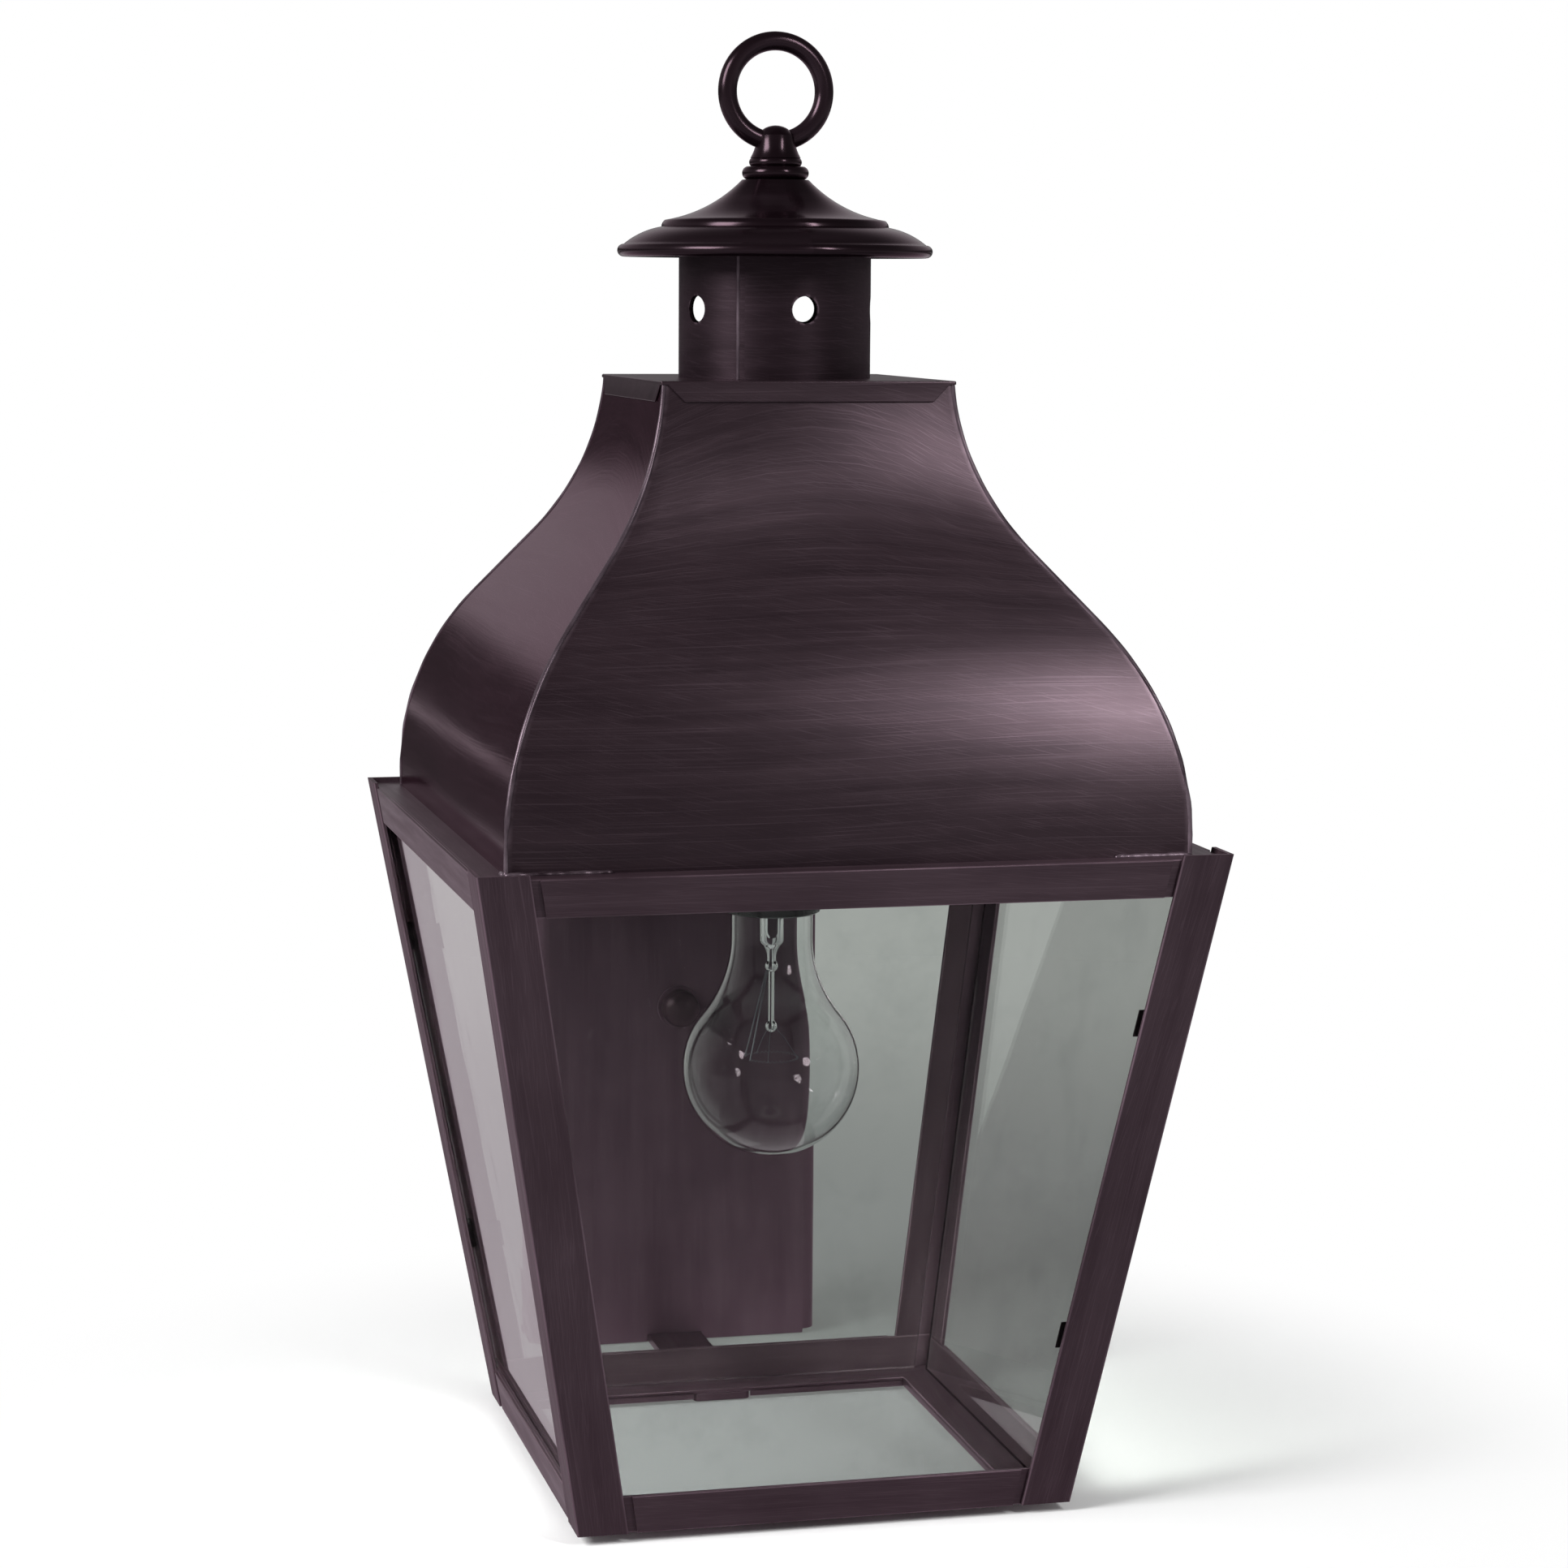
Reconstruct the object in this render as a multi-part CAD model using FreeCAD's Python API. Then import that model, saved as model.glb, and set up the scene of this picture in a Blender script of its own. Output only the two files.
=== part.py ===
import FreeCAD, Part
import math
import os

# Outdoor wall lantern in dark bronzed brass: a tapered glazed body under a soldered ogee roof with a
# vented chimney, a spun cap and a ring finial, carried off the wall by a back plate, an arm and a strap.
# Sizes are in millimetres. The lantern is drawn about its own upright axis, with Z = 0 at the bottom of
# the body and the front towards -Y, and is then moved so that the origin is on the wall, at the middle
# of the crossbar.

# Glazed body
body_top_width = 240.0
body_bottom_width = 164.0
body_height = 219.0
post_leg = 16.5
post_sheet = 1.5
post_corner_round = 0.7
post_stand = 1.5
rail_sheet = 1.2
rail_face_setback = 0.4
rail_end_gap = 3.0
top_rail_height = 12.1
bottom_rail_height = 12.6
roof_ledge_width = 16.0
floor_ledge_width = 15.5
floor_lip_drop = 1.9
floor_lip_sheet = 1.0

# Glass and its clips
glass_thickness = 2.5
glass_gap = 0.2
glass_corner_inset = 8.5
clip_sheet = 0.8
clip_height = 8.8
clip_foot = 5.0
clip_reach = 0.2
clip_low_level = 58.2
clip_high_level = 163.6

# Ogee roof
roof_base_width = 219.0
roof_top_width = 95.8
roof_sheet = 1.2
roof_skirt = 6.5
roof_shoulder_radius = 103.0
roof_neck_radius = 94.5
roof_slope_angle = 39.3
roof_neck_angle = 4.0

# Roof plate
plate_sheet = 1.2
plate_flange = 5.5
plate_flange_sheet = 0.6
plate_flange_inset = 2.2
plate_edge_round = 0.5

# Chimney
chimney_diameter = 63.4
chimney_sheet = 1.0
vent_count = 5
vent_diameter = 8.8
vent_height = 22.4
vent_turn = 4.6

# Spun cap: neck, step and brim
cap_sheet = 0.9
cap_neck_diameter = 22.0
cap_step_diameter = 72.6
cap_brim_diameter = 104.0
cap_brim_height = 39.3
cap_cone_height = 13.2
cap_cone_sag = 2.3
cap_step_drop = 2.2
cap_step_run = 1.2
cap_brim_drop = 7.8
cap_brim_sag = 0.9
cap_rim_thickness = 4.2

# Finial knob and ring
knob_bead_diameter = 22.0
knob_bead_height = 4.2
knob_collar_diameter = 17.4
knob_collar_height = 2.8
knob_waist_diameter = 16.6
knob_shoulder_diameter = 12.4
knob_body_hollow = 0.5
knob_body_height = 7.4
knob_dome_height = 3.2
ring_outer_diameter = 38.8
ring_wire_diameter = 6.2
ring_sink = 8.4

# Lamp rod, bridge bar and nuts
rod_diameter = 9.6
rod_bore = 6.4
rod_knob_engagement = 6.0
thread_clearance = 0.05
seat_gap = 0.1
bridge_width = 20.0
bridge_sheet = 2.0
bridge_end_gap = 2.0
rod_nut_flats = 15.0
rod_nut_height = 4.0

# Lampholder
holder_below_ledge = 31.5
holder_diameter = 38.0
holder_height = 40.0
holder_shell_diameter = 28.2
holder_shell_sheet = 0.7
holder_shell_depth = 22.3
holder_shell_mouth = 4.5
holder_cap_sheet = 0.8
holder_cap_skirt = 8.0
holder_cap_dome = 9.0
holder_neck_height = 7.0
holder_neck_wall = 2.2
holder_wire_hole = 8.0
holder_contact_diameter = 9.0
holder_contact_sheet = 1.2

# Lamp bulb, cap upwards
bulb_diameter = 60.0
bulb_neck_diameter = 27.6
bulb_neck_curve = 40.0
bulb_neck_straight = 11.7
bulb_wall = 0.8
bulb_cap_diameter = 26.0
bulb_cap_sheet = 0.5
bulb_cap_length = 20.0
bulb_cap_cone = 3.2
bulb_tip_diameter = 10.0
bulb_turn_clearance = 0.3
bulb_spigot_length = 5.0
bulb_stem_diameter = 8.0
bulb_stem_length = 9.0
bulb_flare_height = 7.0
bulb_pinch_diameter = 3.0
bulb_pinch_taper = 5.5
bulb_pinch_length = 3.0
bulb_bead_diameter = 4.4
bulb_rod_diameter = 2.0
bulb_rod_length = 20.8
bulb_button_diameter = 4.0
bulb_lead_diameter = 0.7
bulb_filament_drop = 10.5
bulb_filament_radius = 9.0
bulb_filament_gap_angle = 50.0

# Wall plate and what holds the lantern to it
wall_plate_width = 108.0
wall_plate_depth = 20.0
wall_plate_sheet = 1.2
wall_plate_edge_round = 5.0
wall_plate_notch = 1.5
wall_plate_over_arm = 26.8
wall_plate_standoff = 28.0
crossbar_length = 104.0
crossbar_width = 22.0
crossbar_sheet = 2.5
crossbar_hole_spacing = 88.9
crossbar_hole_diameter = 4.4
ground_screw_level = 22.0
ground_screw_diameter = 4.0
ground_screw_flats = 8.0
ground_screw_head = 3.0
nipple_diameter = 9.6
nipple_bore = 6.4
cap_nut_diameter = 13.6
cap_nut_height = 9.0
cap_nut_wall = 2.5
washer_diameter = 16.0
washer_sheet = 1.0
arm_diameter = 13.2
arm_bore = 9.6
arm_above_ledge = 10.5
arm_end_stand = 6.0
arm_nut_flats = 17.0
arm_nut_height = 4.0
bushing_flange = 1.2
bushing_sleeve = 4.0
bushing_wall = 1.4
strap_width = 20.6
strap_sheet = 2.8
strap_offset = -1.0
strap_plate_lap = 12.0
strap_end_round = 2.0

V = FreeCAD.Vector
origin = V(0, 0, 0)
up = V(0, 0, 1)
to_front = V(0, -1, 0)
side_turns = {"front": 0, "right": 90, "back": 180, "left": 270}
corner_turns = {"front_right": 0, "back_right": 90, "back_left": 180, "front_left": 270}

# Levels and reaches that follow from the sizes above
taper = (body_top_width - body_bottom_width) / 2 / body_height
ledge_level = body_height - post_stand
rail_inner = post_sheet + rail_sheet
glass_outer = rail_inner + glass_gap
glass_inner = glass_outer + glass_thickness
slope = math.radians(roof_slope_angle)
neck = math.radians(roof_neck_angle)
rod_radius = rod_diameter / 2
rod_hole_radius = rod_radius + thread_clearance
floor_half = body_bottom_width / 2 - floor_ledge_width
plate_face = body_top_width / 2 + wall_plate_standoff
wall_distance = plate_face + wall_plate_depth
arm_level = ledge_level + arm_above_ledge
wall_low = -strap_sheet
wall_high = arm_level + wall_plate_over_arm
wall_plate_level = (wall_low + wall_high) / 2


def half(z):
    """Half the outside width of the tapered body at height z."""
    return body_bottom_width / 2 + taper * z


def turned(shape, angle):
    """A copy of a shape turned about the lantern's axis."""
    copy = shape.copy()
    copy.rotate(origin, up, angle)
    return copy


def box(low, high):
    """A box between two opposite corners."""
    size = high.sub(low)
    return Part.makeBox(size.x, size.y, size.z, low)


def rod(radius, start, end):
    """A round bar between two points."""
    along = end.sub(start)
    return Part.makeCylinder(radius, along.Length, start, along)


def prism(points, along):
    """A flat outline pushed along a vector."""
    return Part.Face(Part.makePolygon(points + points[:1])).extrude(along)


def hex_nut(flats, height, bore_radius, base, along):
    """A hexagon nut standing on base and pointing along an axis."""
    circumradius = flats / math.sqrt(3)
    corners = []
    for step in range(6):
        angle = math.radians(60 * step)
        corners.append(V(circumradius * math.cos(angle), circumradius * math.sin(angle), 0))
    nut = prism(corners, up * height)
    if bore_radius > 0:
        nut = nut.cut(Part.makeCylinder(bore_radius, height))
    nut.Placement = FreeCAD.Placement(base, FreeCAD.Rotation(up, along))
    return nut


def line(start, end):
    """A straight edge between two (radius, height) points of a turned profile."""
    return Part.LineSegment(V(start[0], 0, start[1]), V(end[0], 0, end[1])).toShape()


def bulge(start, end, sag):
    """An arc between two profile points; a positive sag swells to the left of the way from start to end."""
    run = end[0] - start[0]
    rise = end[1] - start[1]
    length = math.hypot(run, rise)
    middle_x = (start[0] + end[0]) / 2 - sag * rise / length
    middle_z = (start[1] + end[1]) / 2 + sag * run / length
    return Part.Arc(V(start[0], 0, start[1]), V(middle_x, 0, middle_z), V(end[0], 0, end[1])).toShape()


def arc_about(center, radius, start_angle, end_angle):
    """An arc of a turned profile about a centre, between two angles in radians."""
    points = []
    for angle in (start_angle, (start_angle + end_angle) / 2, end_angle):
        points.append(V(center[0] + radius * math.cos(angle), 0, center[1] + radius * math.sin(angle)))
    return Part.Arc(*points).toShape()


def dome(radius, base, height):
    """A round cap of a turned profile, from a radius at its base up to the axis."""
    sphere = (radius * radius + height * height) / (2 * height)
    center = base + height - sphere
    return arc_about((0, center), sphere, math.atan2(base - center, radius), math.pi / 2)


def revolve(edges):
    """A solid turned about the lantern's axis from the closed profile that the edges make."""
    wire = Part.Wire(Part.__sortEdges__(edges))
    return Part.Face(wire).revolve(origin, up, 360)


def turned_outline(points):
    """A solid of revolution from a closed outline of straight lines."""
    edges = []
    for start, end in zip(points, points[1:] + points[:1]):
        edges.append(line(start, end))
    return revolve(edges)


def tapered_block(low_corners, high_corners):
    """A solid with flat sides between a lower and an upper four-cornered outline."""
    outlines = [low_corners, high_corners]
    for start in range(4):
        end = (start + 1) % 4
        outlines.append([low_corners[start], low_corners[end], high_corners[end], high_corners[start]])
    faces = [Part.Face(Part.makePolygon(outline + outline[:1])) for outline in outlines]
    return Part.makeSolid(Part.makeShell(faces))


def face_slab(low, high, outer, inner, margin):
    """A slab in the front wall: outer and inner are its depths behind the wall, margin its end cover."""
    outlines = []
    for z in (low, high):
        x = half(z) - margin
        front = -(half(z) - outer)
        back = -(half(z) - inner)
        outlines.append([V(-x, front, z), V(x, front, z), V(x, back, z), V(-x, back, z)])
    return tapered_block(*outlines)


def front_quarter(low, high):
    """The quarter of space in front of the axis, between the two mitre planes."""
    reach = body_top_width
    corners = [V(0, 0, low), V(-reach, -reach, low), V(reach, -reach, low)]
    return prism(corners, up * (high - low))


def corner_post():
    """The front right post: an angle that leans with the body, with its outside corner eased."""
    corner = half(0)
    inner = corner - post_sheet
    end = corner - post_leg
    points = [V(corner, -corner, 0), V(end, -corner, 0), V(end, -inner, 0), V(inner, -inner, 0)]
    points += [V(inner, -end, 0), V(corner, -end, 0)]
    lean = taper * body_height
    post = prism(points, V(lean, -lean, body_height))
    middle = V(half(body_height / 2), -half(body_height / 2), body_height / 2)
    outside = [e for e in post.Edges if e.CenterOfMass.distanceToPoint(middle) < post_sheet / 10]
    return post.makeFillet(min(post_corner_round, post_sheet / 2), outside)


def rail(low, high, ledge_low, ledge_high, ledge_width):
    """A front rail: a face between the posts, a lap that runs behind them and an inward ledge."""
    face = face_slab(low, high, rail_face_setback, post_sheet, post_leg + rail_end_gap)
    lap = face_slab(low, high, post_sheet, rail_inner, post_sheet)
    reach = half(ledge_high)
    ledge = box(V(-reach, -(half(ledge_low) - post_sheet - rail_sheet / 2), ledge_low),
                V(reach, -(half(ledge_low) - ledge_width), ledge_high))
    strip = lap.fuse(ledge).common(front_quarter(low, high))
    return face.fuse(strip).removeSplitter()


def top_rail():
    """The top rail, whose ledge carries the roof."""
    return rail(ledge_level - top_rail_height, ledge_level, ledge_level - rail_sheet, ledge_level,
                roof_ledge_width)


def bottom_rail():
    """The bottom rail, whose ledge frames the open bottom and ends in a turned-down lip."""
    plain = rail(0, bottom_rail_height, 0, post_sheet, floor_ledge_width)
    lip = box(V(-floor_half - floor_ledge_width, -floor_half - floor_lip_sheet, -floor_lip_drop),
              V(floor_half + floor_ledge_width, -floor_half, post_sheet / 2))
    return plain.fuse(lip.common(front_quarter(-floor_lip_drop, post_sheet))).removeSplitter()


def back_bottom_rail():
    """The back bottom rail, its lip notched for the end of the strap."""
    reach = strap_width / 2 + seat_gap
    notch = box(V(strap_offset - reach, floor_half - seat_gap, -floor_lip_drop),
                V(strap_offset + reach, floor_half + floor_lip_sheet + seat_gap, 0))
    return turned(bottom_rail(), side_turns["back"]).cut(notch)


def wall_glass():
    """The front pane, standing on the bottom ledge behind the rails."""
    low = post_sheet + glass_gap
    high = ledge_level - rail_sheet - glass_gap
    return face_slab(low, high, glass_outer, glass_inner, glass_corner_inset)


def glass_clip(level):
    """The clip that holds the front pane at the front right post: a foot, a riser and a finger."""
    low = level - clip_height / 2
    corner = half(low)
    edge = glass_corner_inset - glass_gap
    finger_front = glass_inner + glass_gap
    outline = [(edge - clip_foot, post_sheet), (edge, post_sheet), (edge, finger_front),
               (post_leg + clip_reach, finger_front), (post_leg + clip_reach, finger_front + clip_sheet),
               (edge - clip_sheet, finger_front + clip_sheet), (edge - clip_sheet, post_sheet + clip_sheet),
               (edge - clip_foot, post_sheet + clip_sheet)]
    points = []
    for across, depth in outline:
        points.append(V(corner - across, -(corner - depth), low))
    lean = taper * clip_height
    return prism(points, V(lean, -lean, clip_height))


def glass_clips():
    """Two clips for each pane, on the front right post and on the back left one."""
    clips = []
    for level in (clip_low_level, clip_high_level):
        front = glass_clip(level)
        beside = front.mirror(origin, V(1, 1, 0))
        for clip in (front, beside):
            clips.append(clip)
            clips.append(turned(clip, 180))
    return Part.makeCompound(clips)


def ogee_straight():
    """Length of the straight between the roof's shoulder and its neck."""
    width = (roof_base_width - roof_top_width) / 2
    shoulder = roof_shoulder_radius * (1 - math.cos(slope))
    hollow = roof_neck_radius * (math.cos(neck) - math.cos(slope))
    return (width - shoulder - hollow) / math.sin(slope)


def roof_height():
    """Height of the roof sheet from the ledge to the roof plate."""
    shoulder = roof_shoulder_radius * math.sin(slope)
    hollow = roof_neck_radius * (math.sin(slope) - math.sin(neck))
    return roof_skirt + shoulder + ogee_straight() * math.cos(slope) + hollow


def ogee_edges(depth):
    """The roof's profile, (half width, height), at a depth under its outside, and its two ends."""
    base = (roof_base_width / 2 - depth, ledge_level)
    skirt = (base[0], ledge_level + roof_skirt)
    shoulder_radius = roof_shoulder_radius - depth
    shoulder_center = (skirt[0] - shoulder_radius, skirt[1])
    start = (shoulder_center[0] + shoulder_radius * math.cos(slope),
             shoulder_center[1] + shoulder_radius * math.sin(slope))
    end = (start[0] - ogee_straight() * math.sin(slope), start[1] + ogee_straight() * math.cos(slope))
    neck_radius = roof_neck_radius + depth
    neck_center = (end[0] + neck_radius * math.cos(slope), end[1] + neck_radius * math.sin(slope))
    top = (neck_center[0] - neck_radius * math.cos(neck), neck_center[1] - neck_radius * math.sin(neck))
    edges = [line(base, skirt), arc_about(shoulder_center, shoulder_radius, 0, slope), line(start, end),
             arc_about(neck_center, neck_radius, math.pi + slope, math.pi + neck)]
    return edges, base, top


def shoulder_half(z):
    """Half the roof's outside width at a height on its shoulder."""
    rise = max(z - ledge_level - roof_skirt, 0)
    return roof_base_width / 2 - roof_shoulder_radius + math.sqrt(roof_shoulder_radius ** 2 - rise ** 2)


def roof_panel():
    """The front roof panel: the ogee sheet cut to the mitre planes of its two hips."""
    outer, outer_base, outer_top = ogee_edges(0)
    inner, inner_base, inner_top = ogee_edges(roof_sheet)
    edges = outer + inner + [line(outer_base, inner_base), line(outer_top, inner_top)]
    profile = Part.Face(Part.Wire(Part.__sortEdges__(edges)))
    profile.rotate(origin, up, -90)
    profile.translate(V(-roof_base_width / 2, 0, 0))
    sheet = profile.extrude(V(roof_base_width, 0, 0))
    return sheet.common(front_quarter(0, roof_level + roof_height()))


roof_level = ledge_level + roof_height()
plate_top = roof_level + plate_sheet
chimney_radius = chimney_diameter / 2


def roof_plate():
    """The square plate on the roof, its flanges turned down over the panels with cut ends."""
    edge = roof_top_width / 2 + seat_gap + plate_flange_sheet
    plate = box(V(-edge, -edge, roof_level), V(edge, edge, plate_top))
    above = roof_level + plate_sheet / 10
    eased = [e for e in plate.Edges if e.CenterOfMass.z > above]
    plate = plate.makeFillet(min(plate_edge_round, plate_sheet / 2), eased)
    turn = math.asin(math.sin(neck) + plate_flange / roof_neck_radius)
    spread = roof_neck_radius * (math.cos(neck) - math.cos(turn))
    outlines = []
    for z, x, out in ((roof_level - plate_flange, edge - plate_flange_inset - plate_flange, spread),
                      (roof_level, edge - plate_flange_inset, 0.0)):
        front = -(edge + out)
        back = front + plate_flange_sheet
        outlines.append([V(-x, front, z), V(x, front, z), V(x, back, z), V(-x, back, z)])
    flange = tapered_block(*outlines)
    for angle in side_turns.values():
        plate = plate.fuse(turned(flange, angle))
    hole = Part.makeCylinder(chimney_radius - chimney_sheet, plate_sheet, V(0, 0, roof_level))
    return plate.cut(hole)


# The spun cap's profile, from the neck down to the rim
brim_level = plate_top + cap_brim_height
rim_level = brim_level + cap_rim_thickness / 2
step_foot = (cap_step_diameter / 2 + cap_step_run, rim_level + cap_brim_drop)
step_head = (cap_step_diameter / 2, step_foot[1] + cap_step_drop)
cap_neck = (cap_neck_diameter / 2, step_head[1] + cap_cone_height)
rim_center = (cap_brim_diameter / 2 - cap_rim_thickness / 2, rim_level)
cap_level = cap_neck[1]


def lowered(point):
    """A point of the cap's profile carried down by the sheet."""
    return (point[0], point[1] - cap_sheet)


def chimney_cap():
    """The spun cap: a hollow cone, a step and a drooping brim with a rolled rim."""
    rim_start = (rim_center[0], rim_center[1] + cap_rim_thickness / 2)
    rim_end = (rim_center[0], rim_center[1] - cap_rim_thickness / 2)
    inner_end = lowered(rim_start)
    hole_top = (rod_hole_radius, cap_level)
    edges = [line(hole_top, cap_neck), bulge(cap_neck, step_head, -cap_cone_sag),
             bulge(step_head, step_foot, cap_step_run / 4), bulge(step_foot, rim_start, cap_brim_sag),
             arc_about(rim_center, cap_rim_thickness / 2, math.pi / 2, -math.pi / 2),
             line(rim_end, inner_end), bulge(inner_end, lowered(step_foot), -cap_brim_sag),
             bulge(lowered(step_foot), lowered(step_head), -cap_step_run / 4),
             bulge(lowered(step_head), lowered(cap_neck), cap_cone_sag),
             line(lowered(cap_neck), lowered(hole_top)), line(lowered(hole_top), hole_top)]
    return revolve(edges)


def cap_underside(radius):
    """Height of the inside of the cap's cone at a radius."""
    run = step_head[0] - cap_neck[0]
    rise = step_head[1] - cap_neck[1]
    chord = math.hypot(run, rise)
    cone_radius = (chord * chord / 4 + cap_cone_sag * cap_cone_sag) / (2 * cap_cone_sag)
    reach = cone_radius - cap_cone_sag
    center_x = (cap_neck[0] + step_head[0]) / 2 - reach * rise / chord
    center_z = (cap_neck[1] + step_head[1]) / 2 + reach * run / chord
    return center_z - math.sqrt(cone_radius ** 2 - (radius - center_x) ** 2) - cap_sheet


def chimney_tube():
    """The chimney: a tube from the roof plate up to the cap, with a ring of round vents."""
    top = cap_underside(chimney_radius) - seat_gap
    base = V(0, 0, plate_top)
    tube = Part.makeCylinder(chimney_radius, top - plate_top, base)
    tube = tube.cut(Part.makeCylinder(chimney_radius - chimney_sheet, top - plate_top, base))
    for step in range(vent_count):
        vent = rod(vent_diameter / 2, V(0, 0, plate_top + vent_height),
                   V(0, -chimney_diameter, plate_top + vent_height))
        tube = tube.cut(turned(vent, vent_turn + 360 * step / vent_count))
    return tube


knob_level = cap_level + seat_gap
ring_radius = (ring_outer_diameter - ring_wire_diameter) / 2
knob_height = knob_bead_height + knob_collar_height + knob_body_height + knob_dome_height
ring_center = V(0, 0, knob_level + knob_height - ring_sink + ring_outer_diameter / 2)
rod_top = knob_level + rod_knob_engagement


def finial_knob():
    """The turned knob: a bead, a collar and a tapering body under a dome, bored for the rod and ring."""
    collar_low = knob_level + knob_bead_height
    collar_high = collar_low + knob_collar_height
    shoulder = collar_high + knob_body_height
    neck_radius = (knob_collar_diameter - knob_collar_height / 2) / 2
    bead_seat = knob_bead_diameter / 2 - knob_bead_height / 3
    waist_radius = knob_waist_diameter / 2
    dome_radius = knob_shoulder_diameter / 2
    bore = rod_hole_radius
    bore_top = rod_top + seat_gap
    edges = [line((bore, knob_level), (bead_seat, knob_level)),
             bulge((bead_seat, knob_level), (bead_seat, collar_low), -knob_bead_height / 3),
             line((bead_seat, collar_low), (neck_radius, collar_low)),
             bulge((neck_radius, collar_low), (neck_radius, collar_high), -knob_collar_height / 4),
             line((neck_radius, collar_high), (waist_radius, collar_high)),
             bulge((waist_radius, collar_high), (dome_radius, shoulder), knob_body_hollow),
             dome(dome_radius, shoulder, knob_dome_height),
             line((0, shoulder + knob_dome_height), (0, bore_top)),
             line((0, bore_top), (bore, bore_top)), line((bore, bore_top), (bore, knob_level))]
    tunnel = Part.makeTorus(ring_radius, ring_wire_diameter / 2 + thread_clearance, ring_center, V(0, 1, 0))
    return revolve(edges).cut(tunnel)


def finial_ring():
    """The upright ring, brazed through the knob."""
    return Part.makeTorus(ring_radius, ring_wire_diameter / 2, ring_center, V(0, 1, 0))


# Levels of the lamp's pieces, from the lampholder's mouth upwards
holder_level = ledge_level - holder_below_ledge
holder_top = holder_level + holder_height
shell_low = holder_level + holder_shell_mouth
contact_level = shell_low + holder_shell_depth
holder_neck_level = holder_top + holder_cap_dome
rod_bottom = holder_neck_level - holder_cap_sheet
holder_neck_top = holder_neck_level + holder_neck_height
bridge_level = roof_level - bridge_sheet


def centre_rod():
    """The hollow threaded rod from the lampholder up to the finial."""
    tube = rod(rod_radius, V(0, 0, rod_bottom), V(0, 0, rod_top))
    return tube.cut(rod(rod_bore / 2, V(0, 0, rod_bottom), V(0, 0, rod_top)))


def bridge_bar():
    """The flat bar under the roof plate that the rod hangs from."""
    reach = roof_top_width / 2 - roof_sheet - bridge_end_gap
    bar = box(V(-reach, -bridge_width / 2, bridge_level), V(reach, bridge_width / 2, roof_level))
    return bar.cut(rod(rod_hole_radius, V(0, 0, bridge_level), V(0, 0, roof_level)))


def rod_nuts():
    """Nuts on the rod: above and below the bridge bar, under the cap and above the lampholder."""
    under_cap = cap_level - cap_sheet - rod_nut_height
    bases = (roof_level, bridge_level - rod_nut_height, under_cap, holder_neck_top)
    nuts = []
    for base in bases:
        nuts.append(hex_nut(rod_nut_flats, rod_nut_height, rod_hole_radius, V(0, 0, base), up))
    return Part.makeCompound(nuts)


def lampholder_body():
    """The porcelain lampholder: a cup for the screw shell with a wire hole in its floor."""
    outer = holder_diameter / 2
    bore = holder_shell_diameter / 2 + thread_clearance
    floor = contact_level + holder_contact_sheet
    hole = holder_wire_hole / 2
    points = [(bore, holder_level), (outer, holder_level), (outer, holder_top), (hole, holder_top),
              (hole, floor), (bore, floor)]
    return turned_outline(points)


def lampholder_shell():
    """The brass screw shell inside the lampholder."""
    outer = holder_shell_diameter / 2
    inner = outer - holder_shell_sheet
    points = [(inner, shell_low), (outer, shell_low), (outer, contact_level), (inner, contact_level)]
    return turned_outline(points)


def lampholder_contact():
    """The brass centre contact on the lampholder's floor."""
    radius = holder_contact_diameter / 2
    return Part.makeCylinder(radius, holder_contact_sheet, V(0, 0, contact_level))


def lampholder_cap():
    """The domed metal cap over the porcelain, with the neck that the rod screws into."""
    inner = holder_diameter / 2 + thread_clearance
    outer = inner + holder_cap_sheet
    low = holder_top - holder_cap_skirt
    high = holder_top + holder_cap_dome
    neck_outer = rod_hole_radius + holder_neck_wall
    under = high - holder_cap_sheet
    edges = [line((inner, low), (outer, low)), line((outer, low), (outer, holder_top)),
             bulge((outer, holder_top), (neck_outer, high), -holder_cap_dome / 4),
             line((neck_outer, high), (neck_outer, holder_neck_top)),
             line((neck_outer, holder_neck_top), (rod_hole_radius, holder_neck_top)),
             line((rod_hole_radius, holder_neck_top), (rod_hole_radius, under)),
             line((rod_hole_radius, under), (neck_outer, under)),
             bulge((neck_outer, under), (inner, holder_top), holder_cap_dome / 4),
             line((inner, holder_top), (inner, low))]
    return revolve(edges)


# The bulb hangs from the shell: its tip just clears the centre contact
bulb_tip = contact_level - bulb_turn_clearance
bulb_cap_top = bulb_tip - bulb_cap_cone
bulb_cap_low = bulb_cap_top - bulb_cap_length
bulb_radius = bulb_diameter / 2
bulb_neck_radius = bulb_neck_diameter / 2
spigot_radius = bulb_cap_diameter / 2 - bulb_cap_sheet - thread_clearance
neck_span = bulb_neck_radius + bulb_neck_curve
curve_rise = math.sqrt((bulb_radius + bulb_neck_curve) ** 2 - neck_span ** 2)
bulb_shoulder = bulb_cap_low - bulb_turn_clearance
neck_foot = bulb_shoulder - bulb_neck_straight
bulb_center = neck_foot - curve_rise


def bulb_skin(depth):
    """The bulb's outline at a depth under its outside, from the bottom pole up to the neck."""
    globe = bulb_radius - depth
    curve = bulb_neck_curve + depth
    meeting = math.atan2(curve_rise, neck_span)
    curve_center = (neck_span, neck_foot)
    return [arc_about((0, bulb_center), globe, -math.pi / 2, meeting),
            arc_about(curve_center, curve, math.pi + meeting, math.pi)]


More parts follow.
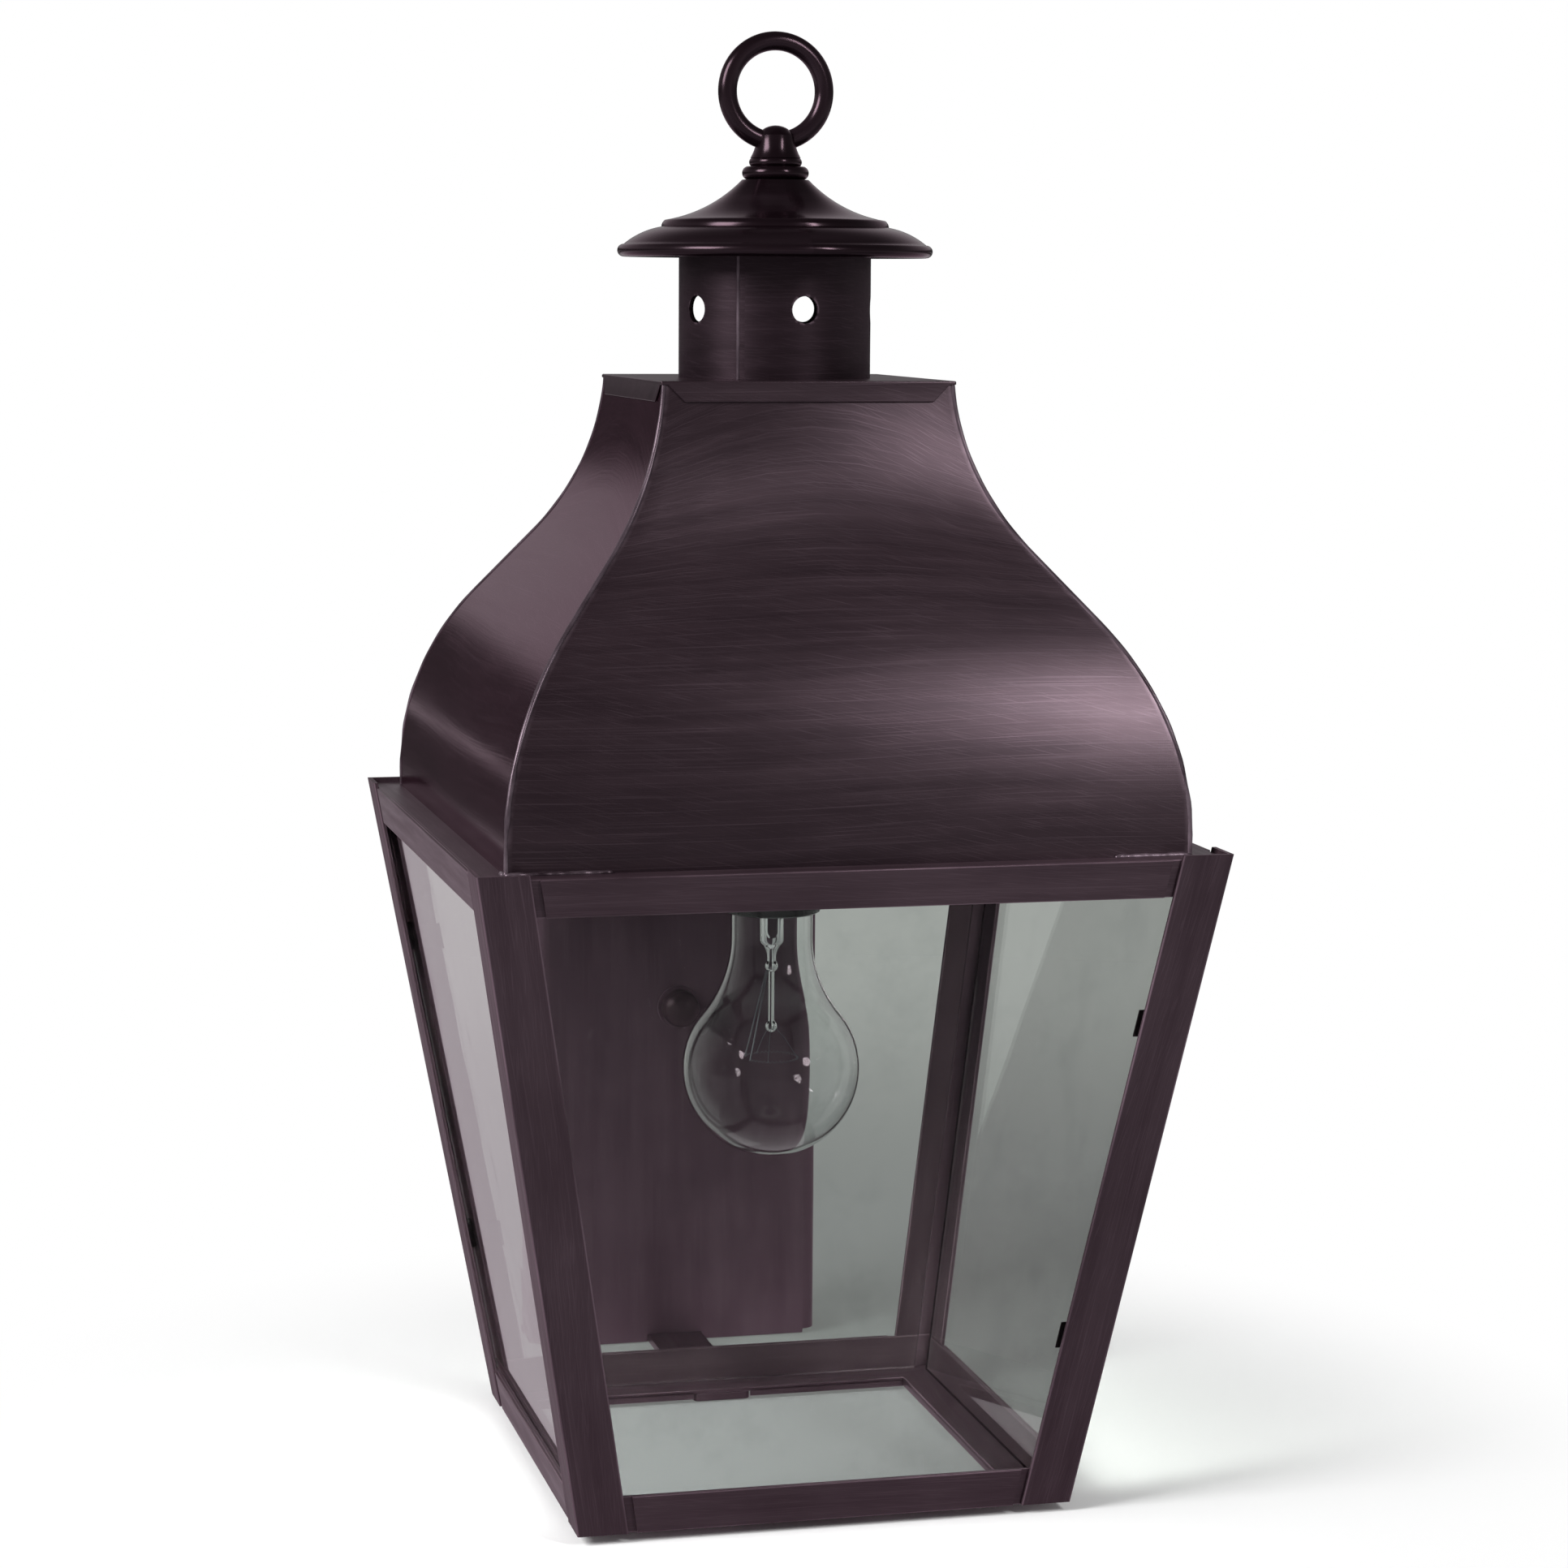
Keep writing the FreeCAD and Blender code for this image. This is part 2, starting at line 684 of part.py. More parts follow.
def bulb_glass():
    """The clear bulb: a thin round globe drawn up to a neck whose spigot is sealed in the cap."""
    outer_neck = bulb_neck_radius
    inner_neck = bulb_neck_radius - bulb_wall
    spigot_top = bulb_cap_low + bulb_spigot_length
    spigot_inner = spigot_radius - bulb_wall
    pole = bulb_center - bulb_radius
    edges = bulb_skin(0) + bulb_skin(bulb_wall)
    edges += [line((outer_neck, neck_foot), (outer_neck, bulb_shoulder)),
              line((outer_neck, bulb_shoulder), (spigot_radius, bulb_shoulder)),
              line((spigot_radius, bulb_shoulder), (spigot_radius, spigot_top)),
              line((spigot_radius, spigot_top), (spigot_inner, spigot_top)),
              line((spigot_inner, spigot_top), (spigot_inner, bulb_shoulder - bulb_wall)),
              line((spigot_inner, bulb_shoulder - bulb_wall), (inner_neck, bulb_shoulder - bulb_wall)),
              line((inner_neck, bulb_shoulder - bulb_wall), (inner_neck, neck_foot)),
              line((0, pole), (0, pole + bulb_wall))]
    return revolve(edges)


def bulb_cap():
    """The bulb's metal cap: a shell closed by a cone that ends in the contact."""
    outer = bulb_cap_diameter / 2
    inner = outer - bulb_cap_sheet
    tip = bulb_tip_diameter / 2
    points = [(inner, bulb_cap_low), (outer, bulb_cap_low), (outer, bulb_cap_top), (tip, bulb_tip),
              (0, bulb_tip), (0, bulb_cap_top), (inner, bulb_cap_top)]
    return turned_outline(points)


stem_top = bulb_cap_low + bulb_spigot_length / 2
flare_low = stem_top - bulb_flare_height
stem_low = flare_low - bulb_stem_length
pinch_level = stem_low - bulb_pinch_taper
bead_level = pinch_level - bulb_pinch_length
button_level = bead_level - bulb_rod_length


def bulb_stem():
    """The glass stem: a flare sealed in the spigot, a pinched tube, a bead, and a thin rod with a button."""
    flare = spigot_radius - bulb_wall - thread_clearance
    stem = bulb_stem_diameter / 2
    pinch = bulb_pinch_diameter / 2
    edges = [line((0, stem_top), (flare, stem_top)), bulge((flare, stem_top), (stem, flare_low), -flare / 4),
             line((stem, flare_low), (stem, stem_low)), line((stem, stem_low), (pinch, pinch_level)),
             line((pinch, pinch_level), (pinch, bead_level)), line((pinch, bead_level), (0, bead_level)),
             line((0, bead_level), (0, stem_top))]
    glass = revolve(edges).fuse(Part.makeSphere(bulb_bead_diameter / 2, V(0, 0, bead_level)))
    glass = glass.fuse(rod(bulb_rod_diameter / 2, V(0, 0, bead_level), V(0, 0, button_level)))
    return glass.fuse(Part.makeSphere(bulb_button_diameter / 2, V(0, 0, button_level)))


def bulb_filament():
    """Two lead wires that slant out of the bead, and the open ring of filament between their tips."""
    radius = bulb_lead_diameter / 2
    level = button_level - bulb_filament_drop
    sweep = 360 - bulb_filament_gap_angle
    solid = Part.makeTorus(bulb_filament_radius, radius, V(0, 0, level), up, 0, 360, sweep)
    for angle in (0, sweep):
        way = FreeCAD.Rotation(up, angle).multVec(V(1, 0, 0))
        start = way * (bulb_bead_diameter / 4) + up * bead_level
        end = way * bulb_filament_radius + up * level
        solid = solid.fuse(rod(radius, start, end)).fuse(Part.makeSphere(radius, end))
    return turned(solid.cut(bulb_stem()), 180 + bulb_filament_gap_angle / 2)


# The wall plate stands behind the body, with its rim and the crossbar on the wall
plate_inner = plate_face + wall_plate_sheet
strap_back = plate_face + strap_plate_lap
nipple_hole = nipple_diameter / 2 + thread_clearance
arm_hole = arm_diameter / 2 + thread_clearance


def backplate():
    """The wall plate: a shallow pan with rounded long edges and cut corners, open towards the wall."""
    side = wall_plate_width / 2
    pan = box(V(-side, plate_face, wall_low), V(side, wall_distance, wall_high))
    long_edges = []
    for edge in pan.Edges:
        center = edge.CenterOfMass
        at_side = abs(abs(center.x) - side) < wall_plate_sheet / 10
        if abs(center.y - plate_face) < wall_plate_sheet / 10 and at_side:
            long_edges.append(edge)
    outer_round = max(wall_plate_edge_round, wall_plate_sheet * 1.1)
    pan = pan.makeFillet(outer_round, long_edges)
    inside = box(V(-side + wall_plate_sheet, plate_inner, wall_low + wall_plate_sheet),
                 V(side - wall_plate_sheet, wall_distance, wall_high - wall_plate_sheet))
    inner_edges = []
    for edge in inside.Edges:
        center = edge.CenterOfMass
        at_side = abs(abs(center.x) - side + wall_plate_sheet) < wall_plate_sheet / 10
        if abs(center.y - plate_inner) < wall_plate_sheet / 10 and at_side:
            inner_edges.append(edge)
    pan = pan.cut(inside.makeFillet(outer_round - wall_plate_sheet, inner_edges))
    for x in (-1, 1):
        for z in (-1, 1):
            low_x = min(x * side, x * (side - outer_round))
            level = wall_high if z > 0 else wall_low
            low_z = min(level, level - z * wall_plate_notch)
            pan = pan.cut(box(V(low_x, plate_face, low_z),
                              V(low_x + outer_round, wall_distance, low_z + wall_plate_notch)))
    for radius, level in ((nipple_hole, wall_plate_level), (arm_hole, arm_level)):
        pan = pan.cut(rod(radius, V(0, plate_face, level), V(0, plate_inner, level)))
    reach = strap_width / 2 + seat_gap
    return pan.cut(box(V(strap_offset - reach, plate_face, wall_low),
                       V(strap_offset + reach, strap_back + seat_gap, wall_low + strap_sheet + seat_gap)))


def crossbar():
    """The flat crossbar against the wall, with the tapped centre, the box screw holes and the ground hole."""
    front = wall_distance - crossbar_sheet
    bar = box(V(-crossbar_width / 2, front, wall_plate_level - crossbar_length / 2),
              V(crossbar_width / 2, wall_distance, wall_plate_level + crossbar_length / 2))
    holes = [(nipple_hole, 0.0), (crossbar_hole_diameter / 2, crossbar_hole_spacing / 2),
             (crossbar_hole_diameter / 2, -crossbar_hole_spacing / 2),
             (ground_screw_diameter / 2 + thread_clearance, ground_screw_level)]
    for radius, offset in holes:
        level = wall_plate_level + offset
        bar = bar.cut(rod(radius, V(0, front, level), V(0, wall_distance, level)))
    return bar


def ground_screw():
    """The ground screw in the crossbar, its hexagon head towards the lantern."""
    front = wall_distance - crossbar_sheet
    level = wall_plate_level + ground_screw_level
    head = hex_nut(ground_screw_flats, ground_screw_head, 0, V(0, front, level), to_front)
    return head.fuse(rod(ground_screw_diameter / 2, V(0, front, level), V(0, wall_distance, level)))


nipple_front = plate_face - washer_sheet - cap_nut_height + cap_nut_wall + seat_gap


def centre_nipple():
    """The hollow threaded nipple from the crossbar through the wall plate."""
    start = V(0, wall_distance, wall_plate_level)
    end = V(0, nipple_front, wall_plate_level)
    return rod(nipple_diameter / 2, start, end).cut(rod(nipple_bore / 2, start, end))


def nipple_washer():
    """The washer between the wall plate and the cap nut."""
    back = V(0, plate_face, wall_plate_level)
    front = V(0, plate_face - washer_sheet, wall_plate_level)
    return rod(washer_diameter / 2, back, front).cut(rod(nipple_hole, back, front))


def cap_nut():
    """The domed cap nut that clamps the wall plate, turned about the nipple's axis."""
    radius = cap_nut_diameter / 2
    straight = cap_nut_height - radius / 2
    depth = cap_nut_height - cap_nut_wall
    edges = [line((nipple_hole, 0), (radius, 0)), line((radius, 0), (radius, straight)),
             dome(radius, straight, cap_nut_height - straight),
             line((0, cap_nut_height), (0, depth)), line((0, depth), (nipple_hole, depth)),
             line((nipple_hole, depth), (nipple_hole, 0))]
    nut = revolve(edges)
    base = V(0, plate_face - washer_sheet, wall_plate_level)
    nut.Placement = FreeCAD.Placement(base, FreeCAD.Rotation(up, to_front))
    return nut


roof_back = roof_base_width / 2
arm_back = plate_inner + arm_end_stand
arm_nut_seat = shoulder_half(arm_level + arm_nut_flats / 2) - roof_sheet
arm_front = arm_nut_seat - arm_nut_height - arm_end_stand


def upper_arm():
    """The hollow threaded arm that carries the roof and leads into it from the wall plate."""
    start = V(0, arm_front, arm_level)
    end = V(0, arm_back, arm_level)
    return rod(arm_diameter / 2, start, end).cut(rod(arm_bore / 2, start, end))


def arm_nuts():
    """Four nuts on the arm: one on each side of the wall plate and of the roof's back panel."""
    bases = (plate_inner, plate_face - arm_nut_height, roof_back, arm_nut_seat - arm_nut_height)
    away = V(0, 1, 0)
    nuts = []
    for base in bases:
        nuts.append(hex_nut(arm_nut_flats, arm_nut_height, arm_hole, V(0, base, arm_level), away))
    return Part.makeCompound(nuts)


def wire_bushings():
    """A flanged bushing in each end of the arm."""
    sleeve = arm_bore / 2 - thread_clearance
    bore = sleeve - bushing_wall
    bushings = []
    for end, out in ((arm_back, 1), (arm_front, -1)):
        mouth = V(0, end, arm_level)
        flange_end = V(0, end + out * bushing_flange, arm_level)
        sleeve_end = V(0, end - out * bushing_sleeve, arm_level)
        solid = rod(arm_diameter / 2, mouth, flange_end).fuse(rod(sleeve, mouth, sleeve_end))
        bushings.append(solid.cut(rod(bore, flange_end, sleeve_end)))
    return Part.makeCompound(bushings)


def roof_back_panel():
    """The back roof panel, holed for the arm."""
    panel = turned(roof_panel(), side_turns["back"])
    return panel.cut(rod(arm_hole, V(0, 0, arm_level), V(0, plate_face, arm_level)))


def lower_strap():
    """The flat strap under the back bottom rail, let into the lower edge of the wall plate."""
    side = strap_width / 2
    strap = box(V(strap_offset - side, floor_half, -strap_sheet), V(strap_offset + side, strap_back, 0))
    front = [e for e in strap.Edges if abs(e.CenterOfMass.y - floor_half) < seat_gap
             and abs(e.CenterOfMass.z + strap_sheet / 2) < seat_gap]
    return strap.makeFillet(strap_end_round, front)


def lantern_nodes():
    """Every piece of the lantern by name, drawn about the lantern's own axis."""
    nodes = {}
    post = corner_post()
    for corner, angle in corner_turns.items():
        nodes["corner_post_" + corner] = turned(post, angle)
    wall_pieces = {"top_rail_": top_rail(), "bottom_rail_": bottom_rail(), "glass_": wall_glass(),
                   "roof_panel_": roof_panel()}
    for name, piece in wall_pieces.items():
        for side, angle in side_turns.items():
            nodes[name + side] = turned(piece, angle)
    nodes["roof_panel_back"] = roof_back_panel()
    nodes["bottom_rail_back"] = back_bottom_rail()
    nodes["glass_clips"] = glass_clips()
    nodes["roof_top_plate"] = roof_plate()
    nodes["chimney_tube"] = chimney_tube()
    nodes["chimney_cap"] = chimney_cap()
    nodes["finial_knob"] = finial_knob()
    nodes["finial_ring"] = finial_ring()
    nodes["centre_rod"] = centre_rod()
    nodes["bridge_bar"] = bridge_bar()
    nodes["rod_nuts"] = rod_nuts()
    nodes["lampholder_body"] = lampholder_body()
    nodes["lampholder_shell"] = lampholder_shell()
    nodes["lampholder_contact"] = lampholder_contact()
    nodes["lampholder_cap"] = lampholder_cap()
    nodes["bulb_glass"] = bulb_glass()
    nodes["bulb_cap"] = bulb_cap()
    nodes["bulb_stem"] = bulb_stem()
    nodes["bulb_filament"] = bulb_filament()
    nodes["backplate"] = backplate()
    nodes["crossbar"] = crossbar()
    nodes["ground_screw"] = ground_screw()
    nodes["centre_nipple"] = centre_nipple()
    nodes["nipple_washer"] = nipple_washer()
    nodes["cap_nut"] = cap_nut()
    nodes["upper_arm"] = upper_arm()
    nodes["arm_nuts"] = arm_nuts()
    nodes["wire_bushings"] = wire_bushings()
    nodes["lower_strap"] = lower_strap()
    return nodes


os.makedirs("parts", exist_ok=True)
for node_name, node_shape in lantern_nodes().items():
    node_shape.translate(V(0, -wall_distance, -wall_plate_level))
    node_shape.exportStep("parts/" + node_name + ".step")
    print(node_name, len(node_shape.Solids), node_shape.isValid(), round(node_shape.Volume, 1))
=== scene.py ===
import math

import bmesh
import bpy
import numpy as np
from mathutils import Matrix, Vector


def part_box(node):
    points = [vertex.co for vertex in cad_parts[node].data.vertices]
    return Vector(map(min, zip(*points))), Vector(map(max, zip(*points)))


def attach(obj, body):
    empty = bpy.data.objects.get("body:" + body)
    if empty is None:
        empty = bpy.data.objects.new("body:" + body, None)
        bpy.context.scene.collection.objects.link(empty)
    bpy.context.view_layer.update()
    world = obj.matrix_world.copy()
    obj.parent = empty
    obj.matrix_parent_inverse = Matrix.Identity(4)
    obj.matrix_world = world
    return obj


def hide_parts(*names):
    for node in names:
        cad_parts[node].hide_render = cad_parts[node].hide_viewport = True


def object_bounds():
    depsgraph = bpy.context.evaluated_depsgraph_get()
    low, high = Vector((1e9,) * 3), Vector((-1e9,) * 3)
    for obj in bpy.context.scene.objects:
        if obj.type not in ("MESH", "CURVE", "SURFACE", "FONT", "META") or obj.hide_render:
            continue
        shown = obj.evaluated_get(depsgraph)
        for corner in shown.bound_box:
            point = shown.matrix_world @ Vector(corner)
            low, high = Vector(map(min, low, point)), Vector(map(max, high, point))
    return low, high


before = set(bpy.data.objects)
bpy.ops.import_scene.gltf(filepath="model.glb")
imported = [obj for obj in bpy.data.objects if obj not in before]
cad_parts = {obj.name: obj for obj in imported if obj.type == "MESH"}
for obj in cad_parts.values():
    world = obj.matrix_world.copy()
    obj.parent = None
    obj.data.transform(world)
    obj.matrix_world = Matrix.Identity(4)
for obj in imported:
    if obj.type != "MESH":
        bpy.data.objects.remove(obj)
cad_low, cad_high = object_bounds()


# Corner posts
# Four angles folded from 1.5 mm brass sheet, leaning outwards with the panes that they frame. They are
# bronzed a dark purple brown and brushed along their length; the folded corner is painted brighter, partly
# wear and partly a painted highlight.

mm_per_m = 1000
lantern_foot = np.array([0.0, -168.0, -126.0])
body_height = 219.0
foot_half = 82.0
head_half = 120.0
post_leg = 16.5
post_sheet = 1.5
post_edge = 0.32
sharp_from = math.radians(38)
weld_gap = 1e-6
stroke_shift = np.array([[0.0031, 0.0017], [0.0023, 0.0041], [0.0013, 0.0007]])
corner_names = ("front_right", "back_right", "back_left", "front_left")


def half_width(z):
    """Half the body's outside width at a height: a straight line from the foot's to the head's."""
    return foot_half + (head_half - foot_half) * z / body_height


def eased(corners, radius):
    """An outline with rounded corners: each becomes the quadratic curve between points one radius away on
    its two sides, with a plain point twice as far out on each side. Also gives 1 for the points on a curve
    and 0 for the plain ones: a mask that paints the rounded edges brighter, partly wear and partly a painted
    highlight."""
    corners = np.asarray(corners, float)
    before = np.roll(corners, 1, 0) - corners
    after = np.roll(corners, -1, 0) - corners
    before = (before / np.linalg.norm(before, axis=1, keepdims=True))[:, None]
    after = (after / np.linalg.norm(after, axis=1, keepdims=True))[:, None]
    t = np.linspace(0, 1, 4)[None, :, None]
    curve = corners[:, None] + radius * ((1 - t) ** 2 * before + t ** 2 * after)
    beside = [corners[:, None] + 2 * radius * way for way in (before, after)]
    points = np.concatenate([beside[0], curve, beside[1]], 1)
    rubbed_and_sheen = np.ones(points.shape[:2])
    rubbed_and_sheen[:, [0, -1]] = 0
    return points.reshape(-1, 2), rubbed_and_sheen.ravel()


def walked(points, axis):
    """The distance walked from the first point to each point along one axis of a grid."""
    steps = np.linalg.norm(np.diff(points, axis=axis), axis=-1)
    return np.concatenate([np.zeros_like(steps.take([0], axis)), np.cumsum(steps, axis)], axis)


def patch(points, rubbed_and_sheen=0.0, around=True, ends=True, grain_around=False, flat=None):
    """One grid of a mesh, in millimetres from the lantern's foot: rows of points joined by quads, closed
    round each row, with both end rows filled. Its UV map is the distance walked along the grain and across
    it, or the flat pattern given, moved by the grid's own place so that no two show the same strokes."""
    rows, columns = points.shape[:2]
    closed = np.concatenate([points, points[:, :1]], 1) if around else points
    i, j = np.meshgrid(np.arange(rows - 1), np.arange(closed.shape[1] - 1), indexing="ij")
    row = np.stack([i, i, i + 1, i + 1], -1).reshape(-1, 4)
    column = np.stack([j, j + 1, j + 1, j], -1).reshape(-1, 4)
    if flat is None:
        along = walked(closed, 0)
        along = along - along[-1:] / 2
        across = walked(closed, 1)
        flat = np.stack([across, along] if grain_around else [along, across], -1)
    elif around:
        flat = np.concatenate([flat, flat[:, :1]], 1)
    strokes = flat / mm_per_m + points.mean((0, 1)) @ stroke_shift
    faces = [row * columns + column % columns]
    uv = [strokes[row, column].reshape(-1, 2)]
    if ends:
        rim = np.arange(columns)
        faces += [rim[None, ::-1], rim[None] + (rows - 1) * columns]
        uv += [strokes[0, rim[::-1]], strokes[-1, rim]]
    rubbed_and_sheen = np.broadcast_to(rubbed_and_sheen, (rows, columns))
    return {"points": points.reshape(-1, 3), "faces": faces, "uv": uv, "rubbed_and_sheen": rubbed_and_sheen.ravel()}


def new_object(name, data):
    """A new object with its data, in the scene."""
    thing = bpy.data.objects.new(name, data)
    bpy.context.scene.collection.objects.link(thing)
    return thing


def dressed(name, mesh, finish, slot, body, *nodes):
    """A mesh as a piece of the part, smooth except at real corners, that rides a body and stands for the CAD
    nodes named."""
    mesh.shade_smooth()
    mesh.set_sharp_from_angle(angle=sharp_from)
    mesh.materials.append(finish)
    thing = new_object(name, mesh)
    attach(thing, body)
    if nodes:
        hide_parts(*nodes)
    return thing


def piece(name, patches, finish, slot, body, *nodes):
    """A piece whose mesh is made of patches, welded where they meet."""
    starts = np.cumsum([0] + [len(each["points"]) for each in patches])
    points = np.concatenate([each["points"] for each in patches])
    faces = []
    for start, each in zip(starts, patches):
        for block in each["faces"]:
            faces += (block + start).tolist()
    mesh = bpy.data.meshes.new(name)
    mesh.from_pydata((points + lantern_foot) / mm_per_m, [], faces)
    strokes = np.concatenate([block for each in patches for block in each["uv"]])
    mesh.uv_layers.new(name="brushing").data.foreach_set("uv", strokes.ravel())
    # A mask on the points that paints the edges brighter: partly wear, partly a painted highlight.
    rubbed_and_sheen = np.concatenate([each["rubbed_and_sheen"] for each in patches])
    mesh.attributes.new("rubbed_and_sheen", "FLOAT", "POINT").data.foreach_set("value", rubbed_and_sheen)
    shell = bmesh.new()
    shell.from_mesh(mesh)
    bmesh.ops.remove_doubles(shell, verts=shell.verts, dist=weld_gap)
    bmesh.ops.recalc_face_normals(shell, faces=shell.faces)
    shell.to_mesh(mesh)
    shell.free()
    dressed(name, mesh, finish, slot, body, *nodes)


def srgb(code):
    """Linear colour of an sRGB hex value such as #6f5b67, opaque."""
    part = np.array([int(code[k:k + 2], 16) for k in (1, 3, 5)]) / 255
    linear = np.where(part <= 0.04045, part / 12.92, ((part + 0.055) / 1.055) ** 2.4)
    return (*linear, 1.0)


def feed(tree, node, inputs):
    """Gives sockets of a node their values, or joins them to an output, or to a node's first live output."""
    for key, value in inputs.items():
        if isinstance(value, bpy.types.Node):
            value = next(output for output in value.outputs if output.enabled)
        if isinstance(value, bpy.types.NodeSocket):
            tree.links.new(value, node.inputs[key])
        else:
            node.inputs[key].default_value = value


def add_node(tree, kind, inputs=None, **settings):
    """Adds one node: settings are its properties, and inputs feed its sockets."""
    node = tree.nodes.new(kind)
    for key, value in settings.items():
        setattr(node, key, value)
    feed(tree, node, inputs or {})
    return node


def noise(tree, vector, size, detail, roughness=0.5, space="3D"):
    """Cloudy noise whose clouds are about one size across."""
    return add_node(tree, "ShaderNodeTexNoise",
                    {"Vector": vector, "Scale": 1 / size, "Detail": detail, "Roughness": roughness},
                    noise_dimensions=space)


def marks(tree, flow, along, across, detail, roughness=0.5):
    """Noise drawn out into brush marks: so many to a metre along the grain, and so many across it."""
    drawn_out = add_node(tree, "ShaderNodeMapping", {"Vector": flow, "Scale": (along, across, 1.0)})
    return noise(tree, drawn_out, 1.0, detail, roughness, "2D")


def ramp(tree, value, span, levels=(0.0, 1.0), easing="LINEAR"):
    """Carries a value from a span of its own to two levels, and holds it there beyond the span."""
    return add_node(tree, "ShaderNodeMapRange",
                    {"Value": value, "From Min": span[0], "From Max": span[1],
                     "To Min": levels[0], "To Max": levels[1]}, interpolation_type=easing)


def reckon(tree, operation, first, second, clamp=False):
    """One sum with two numbers, such as their product or the greater of the two."""
    return add_node(tree, "ShaderNodeMath", {0: first, 1: second}, operation=operation, use_clamp=clamp)


def blend(tree, share, first, second):
    """A mix of two colours, all of the first at a share of 0 and all of the second at 1."""
    return add_node(tree, "ShaderNodeMix", {0: share, 6: first, 7: second}, data_type="RGBA")


def new_finish(name):
    """A new material, its node tree and its main shader."""
    finish = bpy.data.materials.new(name)
    finish.use_nodes = True
    return finish, finish.node_tree, finish.node_tree.nodes["Principled BSDF"]


def bronzed_brass(name, dark, light, rubbed_and_sheen, satin, stroke, sway, cross, drawn=0.5, glance="#f4e6ee"):
    """Brass sheet darkened with a bronzing salt and brushed by hand under a thin lacquer: a purple brown that
    varies in clouds, fine strokes that catch the light, a second set of strokes crossing the first in places,
    and edges painted brighter by the mesh's mask, partly wear and partly a painted highlight. satin is its
    least and most roughness. stroke is the length and width of one mark in metres, about twice as wide as the
    real ones so that they show. sway is how far a long stroke bends aside, cross the angle of the second
    strokes in degrees, drawn how far the brushing draws a highlight out across the strokes, and glance the
    colour that the lacquer reflects."""
    finish, tree, shader = new_finish(name)
    length, width = stroke
    brushing = add_node(tree, "ShaderNodeUVMap", uv_map="brushing")
    bend = reckon(tree, "MULTIPLY", noise(tree, brushing, 0.16, 0.0, space="2D"), sway)
    bend = add_node(tree, "ShaderNodeCombineXYZ", {"Y": bend})
    flow = add_node(tree, "ShaderNodeVectorMath", {0: brushing, 1: bend}, operation="ADD")
    askew = add_node(tree, "ShaderNodeVectorRotate", {"Vector": flow, "Angle": math.radians(cross)},
                     rotation_type="Z_AXIS")
    hairs = marks(tree, flow, 1 / length, 1 / width, 3.0, 0.6)
    crossed = marks(tree, askew, 4 / length, 1.4 / width, 2.0)
    sweeps = marks(tree, flow, 0.8 / length, 0.1 / width, 4.0, 0.55)
    clouds = noise(tree, add_node(tree, "ShaderNodeTexCoord").outputs["Object"], 0.05, 3.0)
    tone = ramp(tree, reckon(tree, "ADD", sweeps, clouds), (0.7, 1.3))
    patina = blend(tree, tone, srgb(dark), srgb(light))
    scratch = ramp(tree, hairs, (0.55, 0.85), (0.0, 0.2))
    second = reckon(tree, "MULTIPLY", ramp(tree, crossed, (0.56, 0.82), (0.0, 0.24)), clouds)
    # The mesh's edge mask paints the edges brighter: partly wear, partly a painted highlight.
    edge = add_node(tree, "ShaderNodeAttribute", attribute_name="rubbed_and_sheen")
    edge = reckon(tree, "MULTIPLY", edge.outputs["Fac"], tone, clamp=True)
    worn_and_sheen = reckon(tree, "MAXIMUM", reckon(tree, "MAXIMUM", scratch, second), edge)
    relief = add_node(tree, "ShaderNodeBump", {"Height": reckon(tree, "ADD", hairs, second),
                                               "Strength": 0.15, "Distance": 0.0001})
    way = add_node(tree, "ShaderNodeTangent", direction_type="UV_MAP", uv_map="brushing")
    feed(tree, shader, {"Base Color": blend(tree, worn_and_sheen, patina, srgb(rubbed_and_sheen)),
                        "Metallic": 0.55,
                        "Roughness": ramp(tree, sweeps, (0.3, 0.7), satin),
                        "Specular Tint": srgb(glance),
                        "Anisotropic": drawn,
                        "Anisotropic Rotation": 0.25,
                        "Normal": relief,
                        "Tangent": way})
    return finish


def quarter_turned(points, quarters):
    """Points turned about the lantern's axis by whole quarters, from the front towards the right."""
    angle = quarters * math.pi / 2
    turn = np.array([[math.cos(angle), math.sin(angle), 0],
                     [-math.sin(angle), math.cos(angle), 0],
                     [0, 0, 1]])
    return points @ turn


frame_bronze = bronzed_brass("bronzed_brass_brushed_sheet", "#37282f", "#46373e", "#7a6570",
                             satin=(0.36, 0.5), stroke=(0.06, 0.0006), sway=0.004, cross=6)
corner = half_width(0)
post_outline, post_rubbed_and_sheen = eased(
    [(corner, -corner), (corner - post_leg, -corner), (corner - post_leg, post_sheet - corner),
     (corner - post_sheet, post_sheet - corner), (corner - post_sheet, post_leg - corner),
     (corner, post_leg - corner)], post_edge)
post_levels = np.linspace(0, body_height, 12)[:, None]
lean = half_width(post_levels) - corner
post_points = np.stack(np.broadcast_arrays(post_outline[:, 0] + lean, post_outline[:, 1] - lean,
                                           post_levels), -1)
for quarters, corner_name in enumerate(corner_names):
    piece("post_" + corner_name, [patch(quarter_turned(post_points, quarters), post_rubbed_and_sheen)],
          frame_bronze, "bronzed_brass", "lantern", "corner_post_" + corner_name)


# Rails
# Top and bottom rails of 1.2 mm sheet: a face that shows between the posts, a lap that runs behind them to
# the mitred corners, and a ledge turned inwards. The bottom ledge frames the open bottom with a lip.

top_rail_low = 205.4
bottom_rail_high = 12.6
rail_face, rail_lap, rail_back = 0.4, 1.5, 2.7
rail_edge = 0.2
face_margin = 19.5
ledge_level = 217.5
ledge_under = 216.3
ledge_start, ledge_end = 2.1, 16.0
bottom_ledge = 1.5
opening_edge = -66.5
lip_sheet = 1.0
lip_low, lip_high = -1.9, 0.75
strap_offset = -1.0
strap_half = 10.4
side_names = ("front", "right", "back", "left")


